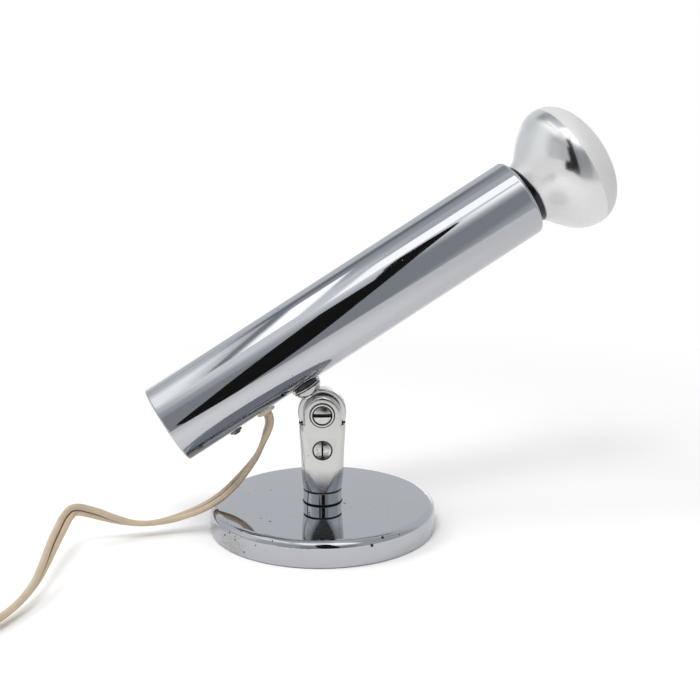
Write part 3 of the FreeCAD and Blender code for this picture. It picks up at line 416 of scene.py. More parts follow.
def mixed(share, first, second):
    """Two colours mixed by a share."""
    return joined("ShaderNodeMix", {0: share, 6: first, 7: second}, data_type="RGBA").outputs[2]


def grey(level):
    """A neutral colour."""
    return (level, level, level, 1.0)


def opaque(colour, share=1.0):
    """A colour picker's three numbers, each multiplied by a share, with full opacity."""
    return tuple(share * value for value in colour[:3]) + (1.0,)


def split(vector):
    """A vector's coordinates, one by one."""
    return joined("ShaderNodeSeparateXYZ", {0: vector}).outputs


def vector_maths(operation, first, second=(0.0, 0.0, 0.0)):
    """A Vector Math node's result, a number where the operation gives one."""
    made = joined("ShaderNodeVectorMath", {0: first, 1: second}, operation=operation)
    return made.outputs["Value" if operation in ("DISTANCE", "DOT_PRODUCT", "LENGTH") else "Vector"]


def distance(place, spot):
    """How far a place is from a fixed spot."""
    return vector_maths("DISTANCE", place, spot)


def noise(vector, scale, detail=3.0, roughness=0.55):
    """Noise between 0 and 1."""
    return joined(
        "ShaderNodeTexNoise", {"Vector": vector, "Scale": scale, "Detail": detail, "Roughness": roughness}
    ).outputs["Fac"]


def specks(vector, scale, size, kept):
    """Sparse dots: cells of a Voronoi pattern, some of them kept, dark within a small distance."""
    cells = joined("ShaderNodeTexVoronoi", {"Vector": vector, "Scale": scale, "Randomness": 1.0}).outputs
    random = joined("ShaderNodeSeparateColor", {0: cells["Color"]}).outputs
    chosen = maths("LESS_THAN", random[0], kept)
    near = eased(minus(cells["Distance"], times(random[1], size)), 0.0, 0.04, 1.0, 0.0)
    return times(near, chosen)


def new_group(name, inputs, outputs=("Color", "Roughness", "Height")):
    """An empty node group: its tree, what comes in, and the node that takes what goes out.

    An input without a default is a vector, one with four numbers a colour, and any other a number.
    """
    kinds = {type(None): "NodeSocketVector", tuple: "NodeSocketColor", float: "NodeSocketFloat"}
    tree = bpy.data.node_groups.new(name, "ShaderNodeTree")
    for label, default in inputs.items():
        socket = tree.interface.new_socket(label, in_out="INPUT", socket_type=kinds[type(default)])
        if default is not None:
            socket.default_value = default
    for label in outputs:
        kind = "NodeSocketColor" if label == "Color" else "NodeSocketFloat"
        tree.interface.new_socket(label, in_out="OUTPUT", socket_type=kind)
    return tree, tree.nodes.new("NodeGroupInput").outputs, tree.nodes.new("NodeGroupOutput")


@cache
def plating_group():
    """Polished plate: cloudy haze, fine wiping scratches along a grain, small pits and rusty bloom."""
    tree, given, out = new_group("Polished plating", {
        "Vector": None, "Grain": None, "Plate": (0.80, 0.81, 0.83, 1), "Roughness": 0.05, "Haze": 0.05,
        "Pits": 0.3, "Rust": 0.3, "Scratches": 0.3, "Waves": 0.25,
    })
    vector = given["Vector"]
    cloud = eased(noise(vector, 42.0, 5.0, 0.62), 0.42, 0.74)
    grain = vector_maths("MULTIPLY", given["Grain"], (260.0, 2600.0, 2600.0))
    lines = eased(noise(grain, 1.0, 2.0), 0.60, 0.74)
    pits = specks(vector, 300.0, 0.11, times(given["Pits"], 0.06))
    chips = specks(vector, 110.0, 0.10, times(given["Pits"], 0.05))
    pits = maths("MAXIMUM", pits, chips)
    bloom = eased(noise(vector, 160.0, 6.0, 0.7), 0.56, 0.78)
    bloom = times(bloom, times(cloud, given["Rust"]))
    tinted = mixed(times(cloud, 0.06), given["Plate"], (0.60, 0.60, 0.60, 1))
    tinted = mixed(times(bloom, 0.50), tinted, (0.27, 0.23, 0.20, 1))
    tinted = mixed(pits, tinted, (0.030, 0.024, 0.020, 1))
    rough = added(cloud, given["Haze"], given["Roughness"])
    rough = added(times(lines, given["Scratches"]), 0.10, rough)
    rough = added(bloom, 0.20, rough)
    rough = added(pits, 0.5, rough)
    ripple = times(noise(vector, 700.0, 2.0), times(given["Waves"], 0.035))
    high = times(maths("ADD", ripple, noise(vector, 90.0, 2.0)), given["Waves"])
    high = added(lines, times(given["Scratches"], -0.04), high)
    feed(out, {"Color": tinted, "Roughness": rough, "Height": minus(high, pits)})
    return tree


@cache
def moulding_group():
    """Moulded or cast skin: colour drift, fine grain, and handling marks in the gloss."""
    tree, given, out = new_group("Moulded skin", {
        "Vector": None, "Colour": (0.5, 0.5, 0.5, 1), "Shade": (0.3, 0.3, 0.3, 1), "Drift": 0.3,
        "Roughness": 0.4, "Grain": 1200.0,
    })
    vector = given["Vector"]
    patches = noise(vector, 120.0, 4.0)
    grain = noise(vector, given["Grain"], 2.0, 0.5)
    dots = specks(vector, 700.0, 0.08, 0.06)
    share = times(eased(patches, 0.35, 0.75), given["Drift"])
    colour = mixed(share, given["Colour"], given["Shade"])
    colour = mixed(times(dots, 0.45), colour, given["Shade"])
    rough = added(minus(patches, 0.5), 0.22, given["Roughness"])
    feed(out, {"Color": colour, "Roughness": rough, "Height": added(dots, -0.4, grain)})
    return tree


@cache
def machined_group():
    """Turned or drawn metal: fine parallel tool lines, stains and bright worn places."""
    tree, given, out = new_group("Machined metal", {
        "Vector": None, "Metal": (0.6, 0.6, 0.6, 1), "Stain": (0.3, 0.28, 0.25, 1), "Roughness": 0.3,
        "Staining": 0.4,
    })
    vector = given["Vector"]
    lines = noise(vector_maths("MULTIPLY", vector, (500.0, 500.0, 7000.0)), 1.0, 2.0)
    stain = times(eased(noise(vector, 420.0, 5.0, 0.65), 0.50, 0.78), given["Staining"])
    spots = specks(vector, 900.0, 0.14, 0.12)
    colour = mixed(stain, given["Metal"], given["Stain"])
    colour = mixed(times(spots, given["Staining"]), colour, given["Stain"])
    rough = added(stain, 0.25, given["Roughness"])
    rough = added(minus(lines, 0.5), 0.16, rough)
    feed(out, {"Color": colour, "Roughness": rough, "Height": added(spots, -0.5, lines)})
    return tree


def new_finish(name):
    """A material with a Principled shader, and its tree, shader and object coordinates."""
    material = bpy.data.materials.new(name)
    material.use_nodes = True
    tree = material.node_tree
    place = tree.nodes.new("ShaderNodeTexCoord").outputs["Object"]
    return material, tree, tree.nodes["Principled BSDF"], place


def group_finish(name, group, values, bump, metallic=0.0, lie=(0.0, 0.0, 0.0), run=1.0):
    """A material made from one of the shared groups with its own values.

    A grain lies at the given turn and runs longer by the given share.
    """
    material, tree, shader, place = new_finish(name)
    made = wire(tree, "ShaderNodeGroup", {"Vector": place, **values}, node_tree=group)
    if "Grain" in made.inputs and made.inputs["Grain"].type == "VECTOR":
        laid = joined("ShaderNodeMapping", {
            "Vector": place, "Rotation": lie, "Scale": (run, 1.0, 1.0)}, vector_type="TEXTURE")
        feed(made, {"Grain": laid.outputs[0]})
    lift = joined("ShaderNodeBump", {"Height": made.outputs["Height"], "Strength": 1.0, "Distance": bump})
    feed(shader, {
        "Base Color": made.outputs["Color"], "Roughness": made.outputs["Roughness"],
        "Normal": lift.outputs[0], "Metallic": metallic})
    return material


PLATED = ("Plate", "Roughness", "Haze", "Pits", "Rust", "Scratches", "Waves")
MOULDED = ("Colour", "Shade", "Drift", "Roughness", "Grain")
MACHINED = ("Metal", "Stain", "Roughness", "Staining")


def plated(name, *values, lie=(0.0, 0.0, 0.0), run=1.0):
    """Polished plate: its colour, roughness, haze, pits, rust, scratches and waves."""
    return group_finish(name, plating_group(), dict(zip(PLATED, values)), 0.00002, 1.0, lie, run)


def moulded(name, bump, *values):
    """Moulded, cast or pressed stuff: its bump, colour, shade, drift, roughness and grain."""
    return group_finish(name, moulding_group(), dict(zip(MOULDED, values)), bump)


def machined(name, *values):
    """Bare turned or drawn metal: its colour, stain, roughness and staining."""
    return group_finish(name, machined_group(), dict(zip(MACHINED, values)), 0.00002, 1.0)


def paint(material, names):
    """Puts one finish on CAD nodes through their material slots."""
    for name in names.split():
        for slot in NODES[name].material_slots:
            slot.material = material


def paint_rows(make, rows):
    """Makes each row's finish from its name and values and puts it on the row's nodes."""
    for *values, names in rows:
        paint(make(*values), names)


def groove_shade_share(tree):
    """Painted shade: one in the two grooves of the flat cord, a quarter and three quarters of the way
    round, else none.
    """
    flat = wire(tree, "ShaderNodeUVMap", uv_map=MAP_NAME)
    around = split(flat.outputs["UV"])["Y"]
    near = maths("ABSOLUTE", minus(maths("ABSOLUTE", minus(around, 0.5)), 0.25))
    return eased(near, 0.004, 0.021, 0.92, 0.0)


def place_of(material):
    """A finish's object coordinates, and those coordinates one by one."""
    place = material.node_tree.nodes["Texture Coordinate"].outputs["Object"]
    return place, split(place)


def fed_by(shader, name):
    """The output that a shader's input is linked from."""
    return shader.inputs[name].links[0].from_socket


def grime_and_shade(material, share, dirt):
    """One colour laid over a finish by a share, dull where it lies: dirt and rust, and painted shade in the
    cord's grooves, the screw slot and behind the screw heads.
    """
    shader = material.node_tree.nodes["Principled BSDF"]
    feed(shader, {
        "Base Color": mixed(share, fed_by(shader, "Base Color"), dirt),
        "Roughness": added(share, 0.45, fed_by(shader, "Roughness"))})


def from_screws(material):
    """Distances from the two screws' middle lines, which run front to back."""
    _, spot = place_of(material)
    reach = []
    for height in SCREW_HEIGHTS:
        rise = minus(spot["Z"], height)
        reach.append(maths("SQRT", added(spot["X"], spot["X"], times(rise, rise))))
    return reach


# ---- settings a user would change
class SpotlightSizes(bpy.types.PropertyGroup):
    cord_width: FloatProperty(
        name="Cord width", description="Across both lobes of the flat cord", default=0.0060,
        min=0.004, max=0.0075, unit="LENGTH")
    cord_thickness: FloatProperty(
        name="Cord thickness", description="Over one lobe of the flat cord", default=0.0026,
        min=0.002, max=0.0036, unit="LENGTH")
    cord_web: FloatProperty(
        name="Cord web", description="Thickness left in the groove between the lobes", default=0.0006,
        min=0.0004, max=0.0025, unit="LENGTH")


class SpotlightColours(bpy.types.PropertyGroup):
    chrome: FloatVectorProperty(
        name="Chrome", description="Colour of the plate's reflection", subtype="COLOR",
        default=(0.50, 0.512, 0.54), min=0, max=1)
    casting: FloatVectorProperty(
        name="Knuckle plate", description="Colour of the knuckle's warmer plate", subtype="COLOR",
        default=(0.56, 0.56, 0.545), min=0, max=1)
    cord: FloatVectorProperty(
        name="Cord", description="Aged plastic of the flat cord", subtype="COLOR",
        default=(0.53, 0.425, 0.305), min=0, max=1)
    bushing: FloatVectorProperty(
        name="Bushing", description="Cream plastic of the bushing and plug", subtype="COLOR",
        default=(0.62, 0.56, 0.44), min=0, max=1)
    frosted: FloatVectorProperty(
        name="Frosted glass", description="The bulb's front", subtype="COLOR",
        default=(0.62, 0.62, 0.61), min=0, max=1)


class SpotlightStudio(bpy.types.PropertyGroup):
    floor: FloatProperty(
        name="Floor", description="How pale the table top is", default=0.93, min=0.1, max=1,
        subtype="FACTOR")
    fill: FloatProperty(
        name="Fill", description="Even light from all round", default=0.76, min=0, max=2)
    key: FloatProperty(
        name="Key", description="Power of the soft lamp, in watts", default=4.0, min=0, max=50)


# ---- operators
class SPOTLIGHT_OT_camera(bpy.types.Operator):
    """Places the camera a little above the lamp, in front of the knuckle's screws"""
    bl_idname = "spotlight.camera"
    bl_label = "Camera"

    def execute(self, context):
        data = bpy.data.cameras.new("camera")
        data.lens = CAMERA_LENS
        data.sensor_width = CAMERA_SENSOR
        data.clip_start = 0.01
        data.clip_end = 100.0
        camera = add_object("camera", data)
        camera.location = CAMERA_PLACE
        camera.rotation_euler = (math.radians(CAMERA_TILT), 0.0, math.radians(CAMERA_TURN))
        context.scene.camera = camera
        return {"FINISHED"}


class SPOTLIGHT_OT_cord(bpy.types.Operator):
    """Makes the flat twin cord, from its bushing over the table and through its coil to the plug"""
    bl_idname = "spotlight.cord"
    bl_label = "Mains cord"

    def execute(self, context):
        sizes = context.scene.spotlight_sizes
        plastic = context.scene.spotlight_colours.cord
        line = cord_line()
        rings = cord_rings(line, sizes.cord_width, sizes.cord_thickness, sizes.cord_web)
        worn = opaque(plastic, CORD_WORN)
        finish = moulded("cord_plastic", 0.00003, opaque(plastic), worn, 0.25, 0.42, 900.0)
        # the grooves between the lobes are painted dark brown as shade
        grime_and_shade(finish, groove_shade_share(finish.node_tree), GROOVE_SHADE)
        piece = skin("mains_cord", rings, finish)
        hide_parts("cord", "cord_coil", "cord_tail")
        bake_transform(piece)
        return {"FINISHED"}


class SPOTLIGHT_OT_chrome(bpy.types.Operator):
    """Plates the tube, its back cap, the base cover, the rings and the swivel eye"""
    bl_idname = "spotlight.chrome"
    bl_label = "Chrome plate"

    def execute(self, context):
        colours = context.scene.spotlight_colours
        plate = opaque(colours.chrome)
        tube = plated("tube_chrome", plate, 0.03, 0.03, 0.3, 0.15, 0.8, 0.25, lie=TUBE_TURN, run=9.0)
        paint(tube, "lamp_tube back_cap")
        # painted shade: the base's plate is 0.91 of the tube's, darker for the dim table next to it that
        # its side mirrors
        base = plated("base_chrome", opaque(plate, 0.91), 0.03, 0.04, 8.0, 1.6, 0.4, 0.3)
        self.wear_base(base)
        paint(base, "base_cover")
        collar = plated("collar_chrome", (0.63, 0.65, 0.67, 1), 0.05, 0.05, 1.0, 0.6, 0.4, 0.9)
        _, spot = place_of(collar)
        grime_and_shade(collar, most([
            eased(spot["Z"], COLLAR_FOOT + 0.0005, COLLAR_FOOT + 0.0009, 0.95, 0.0),
            eased(spot["Z"], COLLAR_TOP - 0.0006, COLLAR_TOP - 0.0003, 0.0, 0.95),
        ]), DIRT_AND_SHADE)
        paint(collar, "collar_ring")
        knuckle, front, cup = (
            plated(name, opaque(colours.casting), 0.07, 0.10, 1.0, 0.3, 0.3, 1.6)
            for name in ("knuckle_chrome", "knuckle_front_chrome", "cup_chrome"))
        self.wear_yoke(knuckle)
        paint(knuckle, "swivel_eye yoke_back_half")
        self.wear_yoke(front)
        upper, lower = from_screws(front)
        grime_and_shade(front, most([
            eased(upper, CUP_RADIUS + 0.0002, CUP_RADIUS + 0.0006, 0.85, 0.0),
            eased(lower, SCREW_RADIUS + 0.0002, SCREW_RADIUS + 0.0006, 0.85, 0.0),
        ]), DIRT_AND_SHADE)
        paint(front, "yoke_front_half")
        upper, _ = from_screws(cup)
        grime_and_shade(cup, most([
            eased(upper, SCREW_RADIUS + 0.00025, SCREW_RADIUS + 0.00045, 0.95, 0.0),
            eased(upper, CUP_RADIUS - 0.00035, CUP_RADIUS - 0.0001, 0.0, 0.95),
        ]), DIRT_AND_SHADE)
        paint(cup, "pivot_cup_ring")
        paint(plated(
            "switch_chrome", (0.13, 0.13, 0.135, 1), 0.12, 0.10, 1.0, 0.8, 0.5, 0.6), "switch_ring")
        return {"FINISHED"}

    def wear_base(self, finish):
        """Black chips, a rusty spot on the side, and the dirty joint round the collar"""
        place, spot = place_of(finish)
        ragged = added(noise(place, 1500.0), 0.0008, -0.0004)
        shares = []
        for chip, size in BASE_CHIPS:
            away = maths("ADD", distance(place, chip), ragged)
            shares.append(eased(away, size * 0.9, size * 1.15, 0.95, 0.0))
        away = maths("SQRT", added(spot["X"], spot["X"], times(spot["Y"], spot["Y"])))
        shares.append(eased(away, COLLAR_RADIUS + 0.0003, COLLAR_RADIUS + 0.0006, 0.95, 0.0))
        mottle = eased(noise(place, 1500.0, 6.0, 0.75), 0.46, 0.62)
        near = eased(distance(place, RUSTY_SPOT), *RUSTY_REACH, 0.62, 0.0)
        near = times(near, eased(spot["Z"], *RUSTY_TOP, 1.0, 0.0))
        grime_and_shade(finish, times(mottle, near), RUST)
        grime_and_shade(finish, most(shares), DIRT_AND_SHADE)

    def wear_yoke(self, finish):
        """A foot painted pale as a reflection of the table, and duller, the brown line of the seam, and the
        dirty joint on the collar
        """
        shader = finish.node_tree.nodes["Principled BSDF"]
        _, spot = place_of(finish)
        # painted reflection: a paler, bluer plate on the foot stands in for the table it mirrors
        foot = eased(spot["Z"], *FOOT_SHEEN, 1.0, 0.0)
        feed(shader, {"Base Color": mixed(foot, fed_by(shader, "Base Color"), FOOT_SHEEN_WHITE)})
        worn = eased(spot["Z"], *FOOT_DULL, 0.15, 0.0)
        rubbed = eased(spot["Z"], *TOP_RUBBED, 0.0, 0.10)
        dull = maths("ADD", maths("ADD", worn, rubbed), fed_by(shader, "Roughness"))
        feed(shader, {"Roughness": dull})
        seam = eased(maths("ABSOLUTE", spot["Y"]), 0.0002, 0.0006, 0.75, 0.0)
        grime_and_shade(finish, times(seam, eased(spot["Z"], *SEAM_END, 1.0, 0.0)), SEAM_BROWN)
        grime_and_shade(finish, eased(spot["Z"], COLLAR_TOP + 0.0004, COLLAR_TOP + 0.0007, 0.95, 0.0), DIRT_AND_SHADE)


class SPOTLIGHT_OT_fasteners(bpy.types.Operator):
    """Finishes the screws, nuts, washers and the swivel stem"""
    bl_idname = "spotlight.fasteners"
    bl_label = "Screws, nuts and washers"

    def execute(self, context):
        screws = plated("screw_nickel", (0.58, 0.58, 0.56, 1), 0.10, 0.14, 3.0, 1.2, 1.2, 3.0)
        place, spot = place_of(screws)
        upper, lower = from_screws(screws)
        nearer = maths("MINIMUM", upper, lower)
        slot = maths("ABSOLUTE", minus(spot["Z"], SCREW_HEIGHTS[0]))
        mottle = eased(noise(place, 900.0, 5.0, 0.7), 0.46, 0.66)
        tarnish = eased(lower, SCREW_RADIUS, SCREW_RADIUS + 0.001, 0.60, 0.18)
        grime_and_shade(screws, times(mottle, tarnish), SCREW_TARNISH)
        # near-black at the screw heads' rims, and painted shade in the upper screw's slot and behind the
        # heads' fronts
        grime_and_shade(screws, most([
            eased(nearer, SCREW_RADIUS - 0.00045, SCREW_RADIUS - 0.00015, 0.0, 0.9),
            eased(slot, SLOT_HALF, SLOT_HALF + 0.00012, 0.97, 0.0),
            eased(spot["Y"], *SCREW_BACK, 0.0, 0.95),
        ]), DIRT_AND_SHADE)
        paint(screws, "pivot_screw clamp_screw")
        paint_rows(machined, [
            ("zinc_plate", (0.58, 0.59, 0.60, 1), (0.34, 0.31, 0.26, 1), 0.34, 0.4,
             "base_washer base_nut swivel_stem knuckle_nuts spring_washer disc_washer stud_washer "
             "stud_nut socket_bracket"),
            ("blackened_steel", (0.045, 0.043, 0.042, 1), (0.10, 0.055, 0.03, 1), 0.42, 0.35,
             "tooth_washer"),
            ("brass", (0.72, 0.52, 0.22, 1), (0.30, 0.18, 0.08, 1), 0.28, 0.45,
             "socket_nipple nipple_nuts socket_shell socket_contact terminal_screws plug_blades"),
        ])
        return {"FINISHED"}


class SPOTLIGHT_OT_mouldings(bpy.types.Operator):
    """Finishes the plastic, fibre, felt and cast-iron pieces"""
    bl_idname = "spotlight.mouldings"
    bl_label = "Mouldings and base fillings"

    def execute(self, context):
        cream = opaque(context.scene.spotlight_colours.bushing)
        paint_rows(moulded, [
            ("cream_plastic", 0.00004, cream, (0.34, 0.28, 0.18, 1), 0.4, 0.38, 1400.0,
             "cord_bushing plug_body"),
            ("black_plastic", 0.00004, (0.018, 0.018, 0.019, 1), (0.06, 0.058, 0.055, 1), 0.35, 0.36,
             1600.0, "saddle_washer switch_body switch_button"),
            ("phenolic", 0.00004, (0.030, 0.022, 0.018, 1), (0.10, 0.065, 0.045, 1), 0.5, 0.30, 700.0,
             "socket_body"),
            ("fibre", 0.00004, (0.30, 0.10, 0.055, 1), (0.14, 0.05, 0.03, 1), 0.6, 0.7, 2200.0,
             "friction_washers"),
            ("felt", 0.0004, (0.035, 0.075, 0.045, 1), (0.09, 0.12, 0.09, 1), 0.7, 0.95, 2600.0,
             "base_felt"),
            ("cast_iron", 0.0003, (0.085, 0.080, 0.076, 1), (0.17, 0.09, 0.05, 1), 0.6, 0.62, 1500.0,
             "base_weight"),
        ])
        return {"FINISHED"}


class SPOTLIGHT_OT_wiring(bpy.types.Operator):
    """Finishes the wires and the clamped cord end, and makes the switch's spring"""
    bl_idname = "spotlight.wiring"
    bl_label = "Wiring"

    def execute(self, context):
        plastic = context.scene.spotlight_colours.cord
        worn = opaque(plastic, CORD_WORN)
        paint_rows(moulded, [
            ("wire_plastic", 0.00004, (0.45, 0.42, 0.36, 1), (0.25, 0.22, 0.17, 1), 0.4, 0.45, 1300.0,
             "lead_wires"),
            ("cord_end_plastic", 0.00004, opaque(plastic), worn, 0.3, 0.45, 900.0, "inner_cord"),
        ])
        steel = machined("spring_steel", (0.50, 0.51, 0.52, 1), (0.2, 0.15, 0.1, 1), 0.3, 0.3)
        spring = skin("return_spring", spring_rings(), steel)
        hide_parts("switch_spring")
        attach(spring, "head")
        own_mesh(spring)
        return {"FINISHED"}


class SPOTLIGHT_OT_bulb(bpy.types.Operator):
    """Finishes the reflector bulb: silvered glass behind, frosted in front, and its cap"""
    bl_idname = "spotlight.bulb"
    bl_label = "Reflector bulb"

    def execute(self, context):
        paint(self.coated_glass(opaque(context.scene.spotlight_colours.frosted)), "bulb_glass")
        paint_rows(machined, [
            ("cap_aluminium", (0.68, 0.69, 0.70, 1), (0.35, 0.34, 0.33, 1), 0.33, 0.3, "bulb_shell"),
            ("solder", (0.55, 0.55, 0.56, 1), (0.25, 0.24, 0.22, 1), 0.38, 0.5, "bulb_contact"),
            ("tungsten", (0.30, 0.29, 0.28, 1), (0.15, 0.14, 0.13, 1), 0.4, 0.5, "bulb_filament"),
        ])
        paint(moulded(
            "black_glass", 0.00004, (0.012, 0.012, 0.014, 1), (0.04, 0.03, 0.04, 1), 0.4, 0.16, 400.0
        ), "bulb_insulator")
        clear, _, shader, place = new_finish("clear_glass")
        feed(shader, {
            "Transmission Weight": 1.0, "IOR": 1.5,
            "Base Color": mixed(noise(place, 300.0), (0.96, 0.98, 0.97, 1), (0.90, 0.94, 0.93, 1)),
            "Roughness": times(noise(place, 800.0), 0.06)})
        paint(clear, "bulb_stem")
        return {"FINISHED"}

    def coated_glass(self, frosted):
        """Silver behind a ragged edge, frosted in front of it, milky below, and painted dark at the neck's
        end as a reflection of the tube's dark mouth
        """
        material, _, shader, place = new_finish("bulb_coat")
        station = vector_maths("DOT_PRODUCT", vector_maths("SUBTRACT", place, TUBE_POINT), TUBE_AXIS)
        ahead = minus(station, MOUTH + BULB_EDGE)
        front = eased(added(noise(place, 500.0), 0.0005, ahead), 0.0, 0.0006)
        specked = times(specks(place, 420.0, 0.06, 0.04), 0.5)
        silver = mixed(specked, (0.73, 0.73, 0.725, 1), (0.30, 0.12, 0.06, 1))
        height = split(place)["Z"]
        rise = maths("MAXIMUM", minus(height, NECK_HEIGHT), 0.0)
        # painted reflection: the silver darkened at the neck's end for the tube's dark mouth mirrored there
        neck_dark_reflection = added(rise, NECK_LEAN, minus(station, MOUTH + NECK_EDGE))
        silver = mixed(eased(neck_dark_reflection, -0.0007, 0.0002, 1.0, 0.0), silver, (0.010, 0.008, 0.007, 1))
        bright = minus(1.0, times(front, 0.82))
        clouded = eased(distance(place, BULB_CLEAR), *BULB_CLOUDS, 0.13, 0.235)
        satin = added(noise(place, 60.0), 0.03, clouded)
        lift = joined("ShaderNodeBump", {
            "Height": noise(place, 1500.0, 2.0), "Strength": 0.6, "Distance": 0.00002})
        feed(shader, {
            "Base Color": mixed(front, silver, frosted),
            "Metallic": times(bright, eased(height, *BULB_SILVERS, 0.36, 1.0)),
            "Roughness": added(front, 0.20, satin),
            "Coat Weight": 0.15, "Coat Roughness": 0.12, "Normal": lift.outputs[0]})
        return material


# ---- studio that the chrome mirrors, as cards laid over each other; each row is the card's level against
# the white table, middle, half width, lower and upper edge, and edge softness, the last five in degrees
CARD_LABELS = ("Middle", "Half", "Low", "High", "Soft")
STUDIO_LEVEL = 0.60
# Round the front: 0 is straight in front, positive to the right, rising from the horizon.
STUDIO_FRONT = [
    (0.37, 40, 66, -40, 40, 16), (0.60, 80, 46, -40, 40, 14),
    (0.58, -42, 18, -40, 44, 14), (0.66, -64, 16, -40, 50, 16),
    (0.98, -96, 24, -40, 60, 18), (0.55, -34, 30, 31, 90, 8),
    (0.85, -34, 30, 41, 90, 9), (1.20, -30, 28, 49, 90, 5),
    (0.75, 20, 22, 33, 90, 14), (1.35, 20, 22, 41, 90, 10),
    (1.90, 20, 24, 47, 90, 8), (1.95, -18, 17, 53, 90, 3),
]
# Round the back: 0 is straight behind, positive to the left.
STUDIO_BACK = [
    (0.80, 0, 75, -30, 90, 20), (1.10, 4, 24, -40, 15, 7),
    (1.40, 2, 20, -40, 11, 7), (1.85, -4, 20, -40, 5, 8),
    (0.70, 46, 9, 20, 60, 5), (0.28, 32, 16, 47, 54, 4),
]
# Over the head from the left: 0 level is abeam of the left side, positive to the front, rising to 90 above.
STUDIO_LEFT = [
    (0.85, -22, 16, 49, 62, 6), (1.20, -2, 20, 46, 62, 8),
    (1.50, 3, 15.5, 51.5, 62, 6), (0.44, -22, 20, 59, 94, 7),
    (0.54, -4, 16, 59, 94, 7), (0.72, 6, 13, 59, 94, 7),
    (0.98, 11, 9, 59, 68.6, 4), (1.05, 27, 10, 60, 90, 5),
    (1.85, 22.5, 10, 68.8, 96, 1.6), (2.00, 1, 17, 61.2, 64.8, 1),
    (0.33, -8, 25, 58.9, 60.5, 0.5), (0.28, -33.5, 5.5, 56, 73, 4),
]
# the left side's cards stand this much across and this much ahead of the lamp
LEFT_ACROSS = 0.996
LEFT_AHEAD = 0.087
# a level is bluer the further it lies below this one, by this share
NEUTRAL_LEVEL = 1.3
BLUE_SHARE = 0.09

# dark gap between the studio's front boards, seen only in the chrome: its distance, and its outline as
# places from left to right and heights, up its left side and down its right side
GAP_AWAY = 0.370
GAP_OUTLINE = [
    (0.050, 0.004), (0.006, 0.018), (-0.009, 0.035), (-0.022, 0.050), (-0.030, 0.070), (-0.034, 0.100),
    (-0.045, 0.190), (-0.054, 0.280), (-0.060, 0.370), (-0.063, 0.402), (-0.006, 0.416), (-0.022, 0.460),
    (-0.033, 0.500), (-0.042, 0.520), (-0.056, 0.550), (-0.067, 0.610), (-0.020, 0.612), (0.018, 0.598),
    (0.040, 0.550), (0.049, 0.505), (0.056, 0.450), (0.060, 0.405), (0.066, 0.370), (0.075, 0.310),
    (0.082, 0.250), (0.089, 0.190), (0.096, 0.130), (0.099, 0.080), (0.094, 0.040), (0.080, 0.022),
    (0.069, 0.004),
]
# what stands at the gap's foot, which the bulb mirrors from further off than the tube and base are, and
# over how much it comes in on either side of the nearest distance
GAP_FOOT_NEAREST = 0.395
GAP_FOOT_SOFT = 0.006
GAP_FOOT = [(-0.185, 0.030), (-0.020, 0.034), (-0.042, 0.180), (-0.140, 0.165)]

# the table's rings of points, and its front edge in the chrome: its distance, how soon it runs away on
# the left of a place, and how far it takes to fade out
TABLE_RINGS = (0.0001, 0.3, 0.8, 2.0, 6.0)
TABLE_AROUND = 96
EDGE_AWAY = 0.335
EDGE_TURN = 0.10
EDGE_SLOPE = 1.9
EDGE_SOFT = 0.07

# the soft lamps: side, what they aim at, both places, and the side lamp's power as a share
LAMP_SIZE = 0.40
LAMP_AIM = (-0.02, 0.0, 0.05)
KEY_PLACE = (-0.20, -0.45, 0.95)
SIDE_PLACE = (-0.70, -0.10, 0.80)
SIDE_SHARE = 0.6


def card_group():
    """Mask of one lit or dark card: one inside its width and between two heights, soft at its edges."""
    labels = ("Round", "Height") + CARD_LABELS
    tree, given, out = new_group("Studio card", dict.fromkeys(labels, 0.0), ("Mask",))
    away = maths("ABSOLUTE", minus(given["Round"], given["Middle"]))
    inside = maths("DIVIDE", minus(given["Half"], away), given["Soft"])
    above = maths("DIVIDE", minus(given["Height"], given["Low"]), given["Soft"])
    below = maths("DIVIDE", minus(given["High"], given["Height"]), given["Soft"])
    least = maths("MINIMUM", inside, maths("MINIMUM", above, below))
    feed(out, {"Mask": eased(least, -0.5, 0.5)})
    return tree


def studio_tint(level):
    """A level of the room's light, bluish where it is dim and neutral where it is a lamp."""
    blue = BLUE_SHARE * max(0.0, 1.0 - level / NEUTRAL_LEVEL)
    return (level * (1.0 - blue), level, level * (1.0 + blue), 1.0)


def in_degrees(operation, *sides):
    """An angle from its sides by an inverse function."""
    return times(maths(operation, *sides), math.degrees(1.0))


